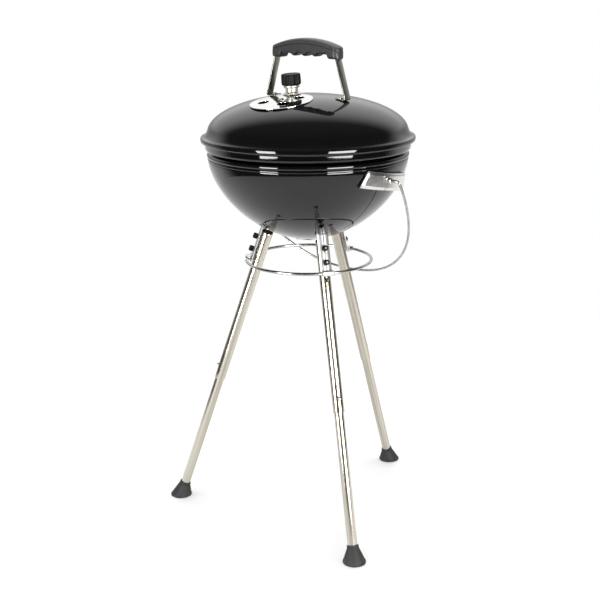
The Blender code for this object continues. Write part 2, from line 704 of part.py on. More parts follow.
def make_lid_group(kettle):
    """Everything that lifts off with the lid."""
    lid_frame = make_empty("lid_axis", kettle)
    place = damper_frame()
    make_lid(lid_frame, place)
    damper = make_empty("damper_axis", lid_frame, place.translation, place.to_euler())
    make_lid_damper(damper)
    depth = place.translation.z - dome_height(DAMPER_OFFSET)
    stack = DAMPER_SHEET + depth + SHEET / cos(dome_slope(DAMPER_OFFSET)) + 2 * GAP
    make_piece("lid_damper_rivet", turned(rivet_outline(stack), SMALL_ROUND), damper, "chrome", (0, 0, DAMPER_SHEET + GAP))
    make_straps(lid_frame)
    make_grip(lid_frame)


# ---------------------------------------------------------------- bail
def bail_rest_angle():
    """Swing of the bail from straight down, where its middle leans on the rear leg."""
    reach = UPPER_TUBE + BAIL_WIRE + GAP
    lever = reach + FOOT_CIRCLE * cos(LEG_SPLAY) - PIVOT_Z * sin(LEG_SPLAY)
    return LEG_SPLAY + asin(lever / BAIL_DEPTH)


def bail_path():
    """Wire path from one pin through the bow to the other pin, hanging along -Z."""
    start = asin((BAIL_BEND / BAIL_DEPTH) ** (BAIL_POWER / 2))
    half = [Vector((BAIL_PIN_END, 0, 0)), Vector((BAIL_HALF - BAIL_BEND, 0, 0))]
    for index in range(1, 4):
        angle = pi / 2 * index / 4
        half.append(Vector((BAIL_HALF - BAIL_BEND + BAIL_BEND * sin(angle), 0,
                            -BAIL_BEND + BAIL_BEND * cos(angle))))
    steps = 20
    for index in range(steps + 1):
        angle = start + (pi / 2 - start) * index / steps
        half.append(Vector((BAIL_HALF * max(cos(angle), 0.0) ** (2 / BAIL_POWER), 0,
                            -BAIL_DEPTH * sin(angle) ** (2 / BAIL_POWER))))
    half[-1].x = 0.0
    other = [Vector((-point.x, 0, point.z)) for point in reversed(half[:-1])]
    return half + other


def plate_point(u, v, inset):
    """Point of a bail plate: u across, v up, both -1 to 1; inset goes inwards from the face."""
    half = PLATE_BOTTOM_HALF + (PLATE_TOP_HALF - PLATE_BOTTOM_HALF) * (v + 1) / 2
    across, up = u * half, v * PLATE_HEIGHT / 2
    along = across * cos(PLATE_TILT) + up * sin(PLATE_TILT)
    rise = up * cos(PLATE_TILT) - across * sin(PLATE_TILT)
    radius = PLATE_BOTTOM_RADIUS + (PLATE_TOP_RADIUS - PLATE_BOTTOM_RADIUS) * (v + 1) / 2 - inset
    turn = along / PLATE_TOP_RADIUS
    return Vector((radius * cos(turn), radius * sin(turn), PIVOT_Z - PLATE_DROP + rise))


def plate_mesh():
    """Skin of a bail plate with its edges folded in towards the bowl."""
    across, up = 8, 2
    bm = bmesh.new()
    rows = []
    for j in range(-1, up + 2):
        row = []
        for i in range(-1, across + 2):
            u = -1 + 2 * min(max(i, 0), across) / across
            v = -1 + 2 * min(max(j, 0), up) / up
            folded = i in (-1, across + 1) or j in (-1, up + 1)
            inset = PLATE_BOTTOM_RADIUS - NECK_RADIUS * 0.93 if folded else 0.0
            row.append(bm.verts.new(plate_point(u, v, inset)))
        rows.append(row)
    for low, high in zip(rows, rows[1:]):
        for i in range(len(low) - 1):
            bm.faces.new((low[i], low[i + 1], high[i + 1], high[i]))
    bmesh.ops.remove_doubles(bm, verts=bm.verts, dist=WELD)
    loose = [face for face in bm.faces if face.calc_area() < WELD * WELD]
    bmesh.ops.delete(bm, geom=loose, context="FACES")
    return bm


def make_bail(kettle, envelope):
    """Bail wire, and on each side its plate with a ferrule round the pin."""
    pivot = make_empty("bail_axis", kettle, (0, 0, PIVOT_Z))
    make_piece("bail_wire", swept(bail_path(), BAIL_WIRE), pivot, "chrome", rotation=(bail_rest_angle(), 0, 0))
    for name, turn in (("left", pi), ("right", 0.0)):
        mirror = -1 if turn else 1
        shape = plate_mesh()
        bmesh.ops.scale(shape, vec=(1, mirror, 1), verts=shape.verts)
        plate = make_piece(f"bail_bracket_{name}", shape, kettle, "brushed_steel", rotation=(0, 0, turn))
        sheet = plate.modifiers.new("sheet", "SOLIDIFY")
        sheet.thickness = PLATE_SHEET
        sheet.offset = -1
        sheet.use_even_offset = True
        combine(plate, envelope, "DIFFERENCE")
        face = plate_face_radius()
        slope = (PLATE_TOP_RADIUS - PLATE_BOTTOM_RADIUS) / PLATE_HEIGHT
        seat = face + GAP + FERRULE_RADIUS * slope
        start = Vector((cos(turn) * (face - 0.02), 0, PIVOT_Z))
        end = Vector((cos(turn) * (face + 0.01), 0, PIVOT_Z))
        hole = rod(start, end, BAIL_WIRE + HOLE_GAP)
        combine(plate, make_piece(f"pin_hole_{name}", hole, kettle), "DIFFERENCE")
        inner = BAIL_WIRE + HOLE_GAP
        outline = [(inner, 0.0), (FERRULE_RADIUS, 0.0), (FERRULE_RADIUS, FERRULE_LENGTH * 0.7),
                   (FERRULE_RADIUS * 0.85, FERRULE_LENGTH), (inner, FERRULE_LENGTH)]
        make_piece(f"bail_ferrule_{name}", turned(outline, SMALL_ROUND, True), pivot, "chrome",
                   (cos(turn) * seat, 0, 0), (0, pi / 2 * cos(turn), 0))


def plate_face_radius():
    """Outer radius of a bail plate at the pivot."""
    v = PLATE_DROP / (PLATE_HEIGHT / 2)
    return PLATE_BOTTOM_RADIUS + (PLATE_TOP_RADIUS - PLATE_BOTTOM_RADIUS) * (v + 1) / 2


# ---------------------------------------------------------------- legs
def tube_mesh(outer, start, end):
    """Open tube along Z, between two stations."""
    inner = outer - TUBE_WALL
    return turned([(outer, end), (outer, start), (inner, start), (inner, end)], TUBE_ROUND, True)


def cross_rod(station, radius, start, end, sides=SMALL_ROUND):
    """Rod across a leg, pointing outboard."""
    return rod((start, 0, station), (end, 0, station), radius, sides)


def make_leg_tubes(name, leg):
    """Upper tube with its lock and bolt holes, lower tube with its button hole."""
    upper = make_piece(f"upper_leg_{name}", tube_mesh(UPPER_TUBE, UPPER_START, UPPER_END), leg, "brushed_steel")
    holes = []
    for station in (BUTTON_STATION, BUTTON_STATION + LEG_TRAVEL):
        holes.append(cross_rod(station, BUTTON_RADIUS + HOLE_GAP, 0.0, 0.02))
    for station in BOLT_STATIONS.values():
        holes.append(cross_rod(station, BOLT_SHANK + HOLE_GAP, 0.0, 0.02))
    combine(upper, make_piece(f"upper_holes_{name}", merged(holes), leg), "DIFFERENCE")
    lower = make_piece(f"lower_leg_{name}", tube_mesh(LOWER_TUBE, LOWER_START, LOWER_END), leg, "brushed_steel")
    hole = cross_rod(BUTTON_STATION, BUTTON_RADIUS + HOLE_GAP, 0.0, 0.02)
    combine(lower, make_piece(f"lower_hole_{name}", hole, leg), "DIFFERENCE")


def make_snap_clip(name, leg):
    """V spring inside the lower tube with the lock button on one arm."""
    inner = LOWER_TUBE - TUBE_WALL
    arm, far = inner * 0.68, -inner * 0.83
    line = [(arm, 0.006), (arm * 0.65, -0.028), (arm * 0.25, -0.034), (far * 0.25, -0.034), (far * 0.6, -0.028),
            (far, 0.005)]
    clip = make_piece(f"snap_clip_{name}", ribbon(line, SPRING_SHEET, SPRING_HALF_WIDTH), leg, "spring_steel",
                      (0, 0, BUTTON_STATION))
    tip = UPPER_TUBE + BUTTON_STANDOUT
    outline = [(0.0, tip), (BUTTON_RADIUS * 0.6, tip - 0.0004), (BUTTON_RADIUS, tip - 0.0018),
               (BUTTON_RADIUS, arm), (0.0, arm)]
    button = make_piece(f"snap_button_{name}", turned(outline, SMALL_ROUND), leg, None, (0, 0, BUTTON_STATION),
                        (0, pi / 2, 0))
    combine(clip, button, "UNION")


def make_foot(name, kettle, leg, azimuth):
    """Rubber foot: flat round base, slanted cone, collar square to the leg."""
    steps = TUBE_ROUND
    tilt = Matrix.Rotation(-LEG_SPLAY, 3, "Y")

    def base(angle, radius, z):
        return Vector((radius * cos(angle), radius * sin(angle), z))

    def collar(angle, radius, station):
        return tilt @ Vector((radius * cos(angle), radius * sin(angle), station))

    angles = [tau * k / steps for k in range(steps)]
    rings = [[base(a, FOOT_RADIUS, 0.0) for a in angles], [base(a, FOOT_RADIUS, FOOT_EDGE) for a in angles]]
    foot_top = FOOT_TOP - FOOT_COLLAR_HEIGHT
    for share in (0.12, 0.45, 0.8):
        ring = []
        for a in angles:
            low = base(a, FOOT_RADIUS - 0.001, FOOT_EDGE + 0.0006)
            ring.append(low.lerp(collar(a, FOOT_COLLAR + FOOT_FLARE, foot_top), share))
        rings.append(ring)
    rings.append([collar(a, FOOT_COLLAR + FOOT_FLARE, foot_top) for a in angles])
    rings.append([collar(a, FOOT_COLLAR, FOOT_TOP) for a in angles])
    place = (FOOT_CIRCLE * cos(azimuth), FOOT_CIRCLE * sin(azimuth), 0)
    foot = make_piece(f"foot_{name}", lofted(rings), kettle, "foot_rubber", place, (0, 0, azimuth))
    bore = rod((0, 0, LOWER_START - GAP), (0, 0, FOOT_TOP + 0.01), LOWER_TUBE + GAP, TUBE_ROUND)
    combine(foot, make_piece(f"foot_bore_{name}", bore, leg), "DIFFERENCE")


def make_leg_mount(name, leg, envelope):
    """Bracket strip on the bowl with two bolts and round nuts, and the plug in the tube."""
    strip = box((STRIP_OFFSET, -STRIP_WIDTH / 2, STRIP_START),
                (STRIP_OFFSET + STRIP_THICK, STRIP_WIDTH / 2, STRIP_END))
    bracket = make_piece(f"leg_bracket_{name}", strip, leg, "brushed_steel")
    bosses, holes = [], []
    for station in BOLT_STATIONS.values():
        bosses.append(cross_rod(station, BOSS_RADIUS, UPPER_TUBE + GAP, STRIP_OFFSET + STRIP_THICK / 2))
        holes.append(cross_rod(station, BOLT_SHANK + HOLE_GAP, 0.0, 0.03))
    combine(bracket, make_piece(f"bosses_{name}", merged(bosses), leg), "UNION")
    combine(bracket, make_piece(f"bracket_holes_{name}", merged(holes), leg), "DIFFERENCE")
    combine(bracket, envelope, "DIFFERENCE")

    nut_start = STRIP_OFFSET + STRIP_THICK + GAP
    nut_end = nut_start + NUT_LENGTH
    inner = UPPER_TUBE - TUBE_WALL
    head_top = sqrt(inner ** 2 - BOLT_HEAD ** 2) - GAP
    bore = BOLT_SHANK + GAP
    for key, station in BOLT_STATIONS.items():
        bolt = [(0.0, head_top - BOLT_HEAD_HEIGHT), (BOLT_HEAD, head_top - BOLT_HEAD_HEIGHT), (BOLT_HEAD, head_top),
                (BOLT_SHANK, head_top), (BOLT_SHANK, nut_end + 0.0002), (0.0, nut_end + 0.0005)]
        make_piece(f"leg_bolt_{key}_{name}", turned(bolt, 8), leg, "chrome", (0, 0, station), (0, pi / 2, 0))
        nut = [(bore, nut_start), (NUT_RADIUS, nut_start), (NUT_RADIUS, nut_end - 0.0012),
               (NUT_RADIUS * 0.82, nut_end), (bore, nut_end)]
        make_piece(f"leg_nut_{key}_{name}", turned(nut, SMALL_ROUND, True), leg, "nut_plastic", (0, 0, station),
                   (0, pi / 2, 0))

    plug_radius = inner - GAP
    seat = UPPER_END + GAP
    plug = [(0.0, seat + PLUG_HEAD), (UPPER_TUBE * 0.85, seat + PLUG_HEAD), (UPPER_TUBE, seat + PLUG_HEAD * 0.75),
            (UPPER_TUBE, seat), (plug_radius, seat), (plug_radius, seat - PLUG_LENGTH), (0.0, seat - PLUG_LENGTH)]
    make_piece(f"leg_plug_{name}", turned(plug, TUBE_ROUND), leg, "nut_plastic")


def make_legs(kettle, envelope):
    """Three telescopic legs with their feet, snap clips and mounts."""
    for name, azimuth in LEG_AZIMUTHS.items():
        place = (FOOT_CIRCLE * cos(azimuth), FOOT_CIRCLE * sin(azimuth), 0)
        leg = make_empty(f"leg_axis_{name}", kettle, place, (0, -LEG_SPLAY, azimuth))
        make_leg_tubes(name, leg)
        make_snap_clip(name, leg)
        make_foot(name, kettle, leg, azimuth)
        make_leg_mount(name, leg, envelope)


# ---------------------------------------------------------------- leg ring
def strip_face_radius(z):
    """Distance of a bracket strip's outer face from the kettle axis at a height."""
    face = STRIP_OFFSET + STRIP_THICK
    return FOOT_CIRCLE + face * cos(LEG_SPLAY) - (z - face * sin(LEG_SPLAY)) * tan(LEG_SPLAY)


def ring_section(radius, sides):
    """Round section of the leg ring."""
    return [(RING_RADIUS + radius * cos(tau * k / sides), RING_Z + radius * sin(tau * k / sides))
            for k in range(sides)]


def make_leg_ring(kettle):
    """Wire ring round the brackets, with a clip that holds it on each strip."""
    make_piece("leg_ring", turned(ring_section(RING_WIRE, 6), RING_ROUND, True), kettle, "chrome")
    clearance = make_piece("ring_clearance", turned(ring_section(RING_WIRE + GAP, 6), RING_ROUND, True), kettle)
    half = RING_WIRE + GAP + CLIP_WALL
    turn = asin(CLIP_HALF_WIDTH / RING_RADIUS)
    outer = RING_RADIUS + half
    section = [((strip_face_radius(RING_Z - half) + GAP) / cos(turn), RING_Z - half),
               (outer - half * 0.5, RING_Z - half), (outer, RING_Z - half * 0.5), (outer, RING_Z + half * 0.5),
               (outer - half * 0.5, RING_Z + half),
               ((strip_face_radius(RING_Z + half) + GAP) / cos(turn), RING_Z + half)]
    for name, azimuth in LEG_AZIMUTHS.items():
        rings = []
        for step in range(5):
            angle = azimuth - turn + 2 * turn * step / 4
            rings.append([(radius * cos(angle), radius * sin(angle), z) for radius, z in section])
        clip = make_piece(f"ring_clip_{name}", lofted(rings), kettle, "brushed_steel")
        combine(clip, clearance, "DIFFERENCE")


def main():
    """Build the whole grill."""
    clear_scene()
    kettle = make_empty("kettle_axis", None, (0, AXIS_Y, 0))
    envelope = make_bowl_envelope(kettle)
    make_bowl(kettle)
    make_bowl_damper(kettle)
    make_grates(kettle)
    make_lid_group(kettle)
    make_bail(kettle, envelope)
    make_legs(kettle, envelope)
    make_leg_ring(kettle)


main()
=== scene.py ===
"""Looks of a portable kettle charcoal grill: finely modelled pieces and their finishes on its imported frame."""

import logging
from collections.abc import Callable, Iterator, Sequence
from contextlib import contextmanager
from dataclasses import dataclass, field
from enum import Enum
from math import asin, atan2, cos, degrees, hypot, pi, radians, sin, sqrt, tan, tau
from typing import Any

import bpy
from mathutils import Matrix, Vector


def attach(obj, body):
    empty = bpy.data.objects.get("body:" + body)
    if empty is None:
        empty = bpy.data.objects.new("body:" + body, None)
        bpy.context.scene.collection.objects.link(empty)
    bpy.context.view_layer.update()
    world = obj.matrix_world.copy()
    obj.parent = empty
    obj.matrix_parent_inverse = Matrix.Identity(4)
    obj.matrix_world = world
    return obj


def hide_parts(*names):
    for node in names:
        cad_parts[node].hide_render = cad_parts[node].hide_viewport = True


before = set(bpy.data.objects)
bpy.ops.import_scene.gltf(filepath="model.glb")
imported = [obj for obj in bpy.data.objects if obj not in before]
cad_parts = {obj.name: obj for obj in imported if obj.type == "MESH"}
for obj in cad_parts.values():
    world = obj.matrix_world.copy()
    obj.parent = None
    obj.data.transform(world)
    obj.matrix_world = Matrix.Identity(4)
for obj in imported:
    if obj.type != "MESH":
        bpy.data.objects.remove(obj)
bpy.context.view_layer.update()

LOG = logging.getLogger("grill")

Color = tuple[float, float, float]
Outline = list[tuple[float, float]]

GAP = 0.0003            # seating gap between neighbours
WELD = 0.000002         # distance for merging doubled points
SHANK = 0.0020          # radius of bolt and screw shanks
SHANK_HOLE = 0.0024     # radius of the holes for them
RIVET_SHANK = 0.0026    # radius of rivet shanks
RIVET_HOLE = 0.0030     # radius of the holes for them
SHELL_STEPS = 144       # facets round the bowl, the lid and the ring
FINE_ROUND = 0.0004     # edge rounding of sheet parts
SHARP = 50.0            # edges sharper than this many degrees are rounded or shaded hard
COAL_HEIGHT = 0.594     # underside of the charcoal grate
COOKING_HEIGHT = 0.686  # underside of the cooking grate


# ---------------------------------------------------------------- shader maths
class Value:
    """A shader socket that takes part in arithmetic."""

    def __init__(self, graph: "Graph", socket: bpy.types.NodeSocket) -> None:
        """Wrap one output socket of a graph."""
        self.graph = graph
        self.socket = socket

    def _math(self, operation: str, left: Any, right: Any) -> "Value":
        """Add one Math node.

        Args:
            operation: The Math node's operation.
            left: First operand, a number or a Value.
            right: Second operand, a number or a Value.

        Returns:
            The node's result.
        """
        node = self.graph.node("ShaderNodeMath", {"operation": operation}, {0: left, 1: right})
        return Value(self.graph, node.outputs[0])

    def __add__(self, other: Any) -> "Value":
        """Sum."""
        return self._math("ADD", self, other)

    def __radd__(self, other: Any) -> "Value":
        """Reflected sum."""
        return self._math("ADD", other, self)

    def __sub__(self, other: Any) -> "Value":
        """Difference."""
        return self._math("SUBTRACT", self, other)

    def __rsub__(self, other: Any) -> "Value":
        """Reflected difference."""
        return self._math("SUBTRACT", other, self)

    def __mul__(self, other: Any) -> "Value":
        """Product."""
        return self._math("MULTIPLY", self, other)

    def __rmul__(self, other: Any) -> "Value":
        """Reflected product."""
        return self._math("MULTIPLY", other, self)


class Graph:
    """Node tree of one material or of the world."""

    def __init__(self, tree: bpy.types.NodeTree) -> None:
        """Start from an empty tree."""
        self.tree = tree
        self.tree.nodes.clear()

    def node(self, kind: str, settings: dict[str, Any] | None = None,
             sockets: dict[Any, Any] | None = None) -> bpy.types.Node:
        """Add a node.

        Args:
            kind: Node type.
            settings: Properties to set first.
            sockets: Input values or links by name or number.

        Returns:
            The new node.
        """
        made = self.tree.nodes.new(kind)
        for key, value in (settings or {}).items():
            setattr(made, key, value)
        for key, value in (sockets or {}).items():
            if isinstance(value, Value):
                self.tree.links.new(value.socket, made.inputs[key])
            else:
                made.inputs[key].default_value = value
        return made

    def value(self, node: bpy.types.Node, output: Any = 0) -> Value:
        """Wrap a node's output."""
        return Value(self, node.outputs[output])

    def coords(self, place: Matrix, scale: Sequence[float] = (1, 1, 1)) -> Value:
        """Object coordinates in a turned frame.

        Args:
            place: Frame in which the pattern lies.
            scale: Pattern repeats per metre along the frame's axes.

        Returns:
            The pattern's coordinates.
        """
        source = self.value(self.node("ShaderNodeTexCoord"), "Object")
        mapping = self.node("ShaderNodeMapping", {"vector_type": "TEXTURE"},
                            {"Vector": source, "Location": place.translation, "Rotation": place.to_euler(),
                             "Scale": [1 / share for share in scale]})
        return self.value(mapping)

    def part(self, vector: Value, axis: int) -> Value:
        """One component of a vector."""
        return self.value(self.node("ShaderNodeSeparateXYZ", None, {0: vector}), axis)

    def absolute(self, value: Value) -> Value:
        """A value without its sign."""
        return self.value(self.node("ShaderNodeMath", {"operation": "ABSOLUTE"}, {0: value}))

    def along(self, vector: Value, direction: Sequence[float]) -> Value:
        """Dot product of a vector and a direction."""
        return self.value(self.node("ShaderNodeVectorMath", {"operation": "DOT_PRODUCT"},
                                    {0: vector, 1: direction}), "Value")

    def noise(self, vector: Value, scale: float = 1.0, detail: float = 2.0, rough: float = 0.5) -> Value:
        """Add a noise texture and return its strength."""
        return self.value(self.node("ShaderNodeTexNoise", None, {"Vector": vector, "Scale": scale, "Detail": detail,
                                                                 "Roughness": rough}))

    def ramp(self, factor: Value, low: float, high: float) -> Value:
        """Stretch a value so that low becomes 0 and high becomes 1."""
        node = self.node("ShaderNodeMapRange", {"interpolation_type": "SMOOTHSTEP"},
                         {"Value": factor, "From Min": low, "From Max": high})
        return self.value(node)

    def mix(self, factor: Value, first: Any, second: Any) -> Value:
        """Mix two colours.

        Args:
            factor: Share of the second colour.
            first: Colour or Value.
            second: Colour or Value.

        Returns:
            The mixed colour.
        """
        def full(color: Any) -> Any:
            """Give a plain colour its alpha."""
            return color if isinstance(color, Value) else (*color, 1.0)

        node = self.node("ShaderNodeMix", {"data_type": "RGBA"}, {0: factor, 6: full(first), 7: full(second)})
        return self.value(node, 2)

    def bump(self, height: Value, distance: float, strength: float = 1.0) -> Value:
        """Turn a height into a surface normal."""
        return self.value(self.node("ShaderNodeBump", None,
                                    {"Height": height, "Distance": distance, "Strength": strength}))

    def surface(self, sockets: dict[str, Any]) -> None:
        """End the tree in a Principled shader with these sockets."""
        shader = self.node("ShaderNodeBsdfPrincipled", None, sockets)
        self.node("ShaderNodeOutputMaterial", None, {"Surface": self.value(shader)})


def new_graph(name: str) -> tuple[bpy.types.Material, Graph]:
    """Make an empty material and its graph."""
    material = bpy.data.materials.new(name)
    material.use_nodes = True
    return material, Graph(material.node_tree)


# ---------------------------------------------------------------- finishes
class Slot(Enum):
    """Material slots of the grill."""

    PORCELAIN = "porcelain"
    CHROME = "chrome"
    TUBE = "tube_steel"
    BRACKET = "bracket_steel"
    STRAP = "strap_steel"
    GRIP = "grip_plastic"
    KNOB = "knob_plastic"
    NUT = "nut_plastic"
    RUBBER = "foot_rubber"
    WIRE = "grate_wire"
    SPRING = "spring_steel"
    DRAWN = "drawn_wire"
    CAST = "cast_post"
    STRIP = "satin_strip"
    BOLT = "plain_bolt"


@dataclass(frozen=True)
class Enamel:
    """Fired black porcelain enamel: deep, glassy, with a faint orange peel."""

    deep: Color = (0.0045, 0.0044, 0.0046)
    speck: Color = (0.0095, 0.0093, 0.0095)
    gloss: tuple[float, float] = (0.030, 0.075)
    peel: float = 0.000035
    scales: tuple[float, float, float] = (900.0, 14.0, 130.0)

    def material(self, name: str, place: Matrix) -> bpy.types.Material:
        """Build the node material; place centres its patterns."""
        material, graph = new_graph(name)
        fine, broad, orange = self.scales
        speck = graph.ramp(graph.noise(graph.coords(place), fine, 2.0, 0.6), 0.52, 0.70)
        smear = graph.noise(graph.coords(place, (1, 1, 1.8)), broad, 4.0, 0.6)
        peel = graph.noise(graph.coords(place), orange, 1.0, 0.4)
        low, high = self.gloss
        graph.surface({"Base Color": graph.mix(speck, self.deep, self.speck),
                       "Roughness": low + smear * (high - low), "IOR": 1.52,
                       "Normal": graph.bump(peel, self.peel, 0.5)})
        return material


@dataclass(frozen=True)
class Steel:
    """Metal sheet, tube or plating whose grain runs along Z of its frame, with an optional painted shade line down a
    pressed crease.
    """

    bright: Color
    dull: Color
    gloss: tuple[float, float]
    grain: tuple[float, float, float] = (220.0, 220.0, 4.0)
    depth: float = 0.00001
    streaks: float = 0.5
    # Half-width of a painted shade line along Y = 0 of the frame, standing in for the shade in a pressed crease; 0
    # leaves it out.
    crease_line: float = 0.0
    smudges: float = 26.0
    # Colour of that painted crease shade.
    crease_shade_tone: Color = (0.02, 0.02, 0.02)

    def material(self, name: str, place: Matrix) -> bpy.types.Material:
        """Build the node material; place turns its grain."""
        material, graph = new_graph(name)
        fine = graph.noise(graph.coords(place, [4 * share for share in self.grain]), 1.0, 3.0, 0.6)
        broad = graph.ramp(graph.noise(graph.coords(place, self.grain), 1.0, 2.0, 0.5), 0.36, 0.64)
        smudge = graph.ramp(graph.noise(graph.coords(place), self.smudges, 4.0, 0.65), 0.35, 0.75)
        tone = broad * self.streaks + fine * (1 - self.streaks)
        low, high = self.gloss
        color = graph.mix(tone, self.bright, self.dull)
        # Painted shade: a near-black line down the middle of the frame's Y axis, where the crease lies.
        if self.crease_line:
            aside = graph.absolute(graph.part(graph.coords(place), 1))
            color = graph.mix(1 - graph.ramp(aside, self.crease_line * 0.6, self.crease_line * 1.3), color, self.crease_shade_tone)
        graph.surface({"Base Color": color,
                       "Roughness": low + (fine * 0.45 + smudge * 0.55) * (high - low), "Metallic": 1.0,
                       "Normal": graph.bump(fine, self.depth, 0.6)})
        return material


@dataclass(frozen=True)
class Plastic:
    """Moulded plastic with a fine pebble grain and paler rubbed patches."""

    tone: Color
    rubbed: Color
    gloss: tuple[float, float]
    pebble: float = 1100.0
    depth: float = 0.00005
    shine: float = 0.5
    patches: float = 22.0

    def material(self, name: str, place: Matrix) -> bpy.types.Material:
        """Build the node material; place centres its patterns."""
        material, graph = new_graph(name)
        coords = graph.coords(place)
        pebble = graph.noise(coords, self.pebble, 2.0, 0.6)
        flow = graph.ramp(graph.noise(graph.coords(place, (1, 2.2, 2.2)), self.patches, 3.0, 0.6), 0.38, 0.72)
        low, high = self.gloss
        graph.surface({"Base Color": graph.mix(flow * 0.75 + pebble * 0.25, self.tone, self.rubbed),
                       "Roughness": high - (flow * 0.6 + pebble * 0.4) * (high - low),
                       "Specular IOR Level": self.shine,
                       "Normal": graph.bump(pebble, self.depth, 0.7)})
        return material


@dataclass(frozen=True)
class Rubber:
    """Dark rubber that picks up dust near the ground."""

    tone: Color = (0.030, 0.030, 0.031)
    dust: Color = (0.105, 0.100, 0.092)
    reach: float = 0.012
    grit: float = 160.0

    def material(self, name: str, place: Matrix) -> bpy.types.Material:
        """Build the node material; place centres its patterns."""
        material, graph = new_graph(name)
        height = graph.part(graph.coords(Matrix()), 2)
        mottle = graph.noise(graph.coords(place), self.grit, 4.0, 0.65)
        low = (1 - graph.ramp(height, 0.0, self.reach)) * graph.ramp(mottle, 0.42, 0.62)
        graph.surface({"Base Color": graph.mix(low * 0.6 + mottle * 0.16, self.tone, self.dust),
                       "Roughness": 0.52 + mottle * 0.25, "Specular IOR Level": 0.4,
                       "Normal": graph.bump(mottle, 0.00012, 0.6)})
        return material


FINISHES: dict[Slot, Any] = {
    Slot.PORCELAIN: Enamel(),
    Slot.CHROME: Steel((0.84, 0.84, 0.82), (0.74, 0.74, 0.72), (0.04, 0.12), (90.0, 90.0, 90.0), 0.000004, 0.4),
    Slot.TUBE: Steel((0.68, 0.64, 0.57), (0.38, 0.35, 0.285), (0.15, 0.30), (230.0, 230.0, 2.0), 0.00012, 0.65),
    Slot.BRACKET: Steel((0.80, 0.79, 0.765), (0.60, 0.59, 0.565), (0.12, 0.30), (9.0, 330.0, 330.0), 0.000008, 0.45),
    Slot.STRAP: Steel((0.47, 0.455, 0.40), (0.31, 0.30, 0.262), (0.26, 0.42), (300.0, 300.0, 9.0), 0.00001, 0.5),
    Slot.GRIP: Plastic((0.068, 0.068, 0.069), (0.092, 0.092, 0.093), (0.38, 0.56)),
    Slot.KNOB: Plastic((0.009, 0.009, 0.0095), (0.016, 0.016, 0.017), (0.32, 0.46), 900.0, 0.00003, 0.12),
    Slot.NUT: Plastic((0.010, 0.010, 0.0105), (0.018, 0.018, 0.018), (0.34, 0.48), 900.0, 0.00003, 0.12),
    Slot.RUBBER: Rubber(),
    Slot.WIRE: Steel((0.66, 0.65, 0.62), (0.46, 0.45, 0.43), (0.14, 0.34), (120.0, 120.0, 120.0), 0.00001, 0.5),
    Slot.DRAWN: Steel((0.52, 0.515, 0.50), (0.34, 0.335, 0.325), (0.14, 0.32), (120.0, 120.0, 120.0), 0.00001, 0.5),
    Slot.CAST: Steel((0.88, 0.86, 0.78), (0.74, 0.72, 0.64), (0.34, 0.46), (160.0, 160.0, 160.0), 0.00001, 0.5),
    # The last number is the half-width of the painted crease shade line down the middle of each leg strip.
    Slot.STRIP: Steel((0.66, 0.655, 0.635), (0.52, 0.515, 0.495), (0.36, 0.50), (9.0, 330.0, 330.0), 0.000008, 0.5,
                      0.0010),
    Slot.BOLT: Steel((0.30, 0.30, 0.29), (0.20, 0.20, 0.19), (0.42, 0.58), (150.0, 150.0, 150.0), 0.00001, 0.5),
    Slot.SPRING: Steel((0.62, 0.61, 0.58), (0.42, 0.41, 0.39), (0.18, 0.34), (260.0, 260.0, 12.0), 0.000008, 0.5),
}


class Paintshop:
    """Makes each finish once for each frame that it lies in."""

    def __init__(self) -> None:
        """Start with no materials."""
        self.made: dict[str, bpy.types.Material] = {}

    def get(self, slot: Slot, place: Matrix | None = None, tag: str = "") -> bpy.types.Material:
        """Return a finish.

        Args:
            slot: Which finish.
            place: Frame of its pattern, the world's if left out.
            tag: Word that tells apart the same finish in other frames.

        Returns:
            The node material.
        """
        name = f"{slot.value}_{tag}" if tag else slot.value
        if name not in self.made:
            self.made[name] = FINISHES[slot].material("finish_" + name, place or Matrix())
        return self.made[name]


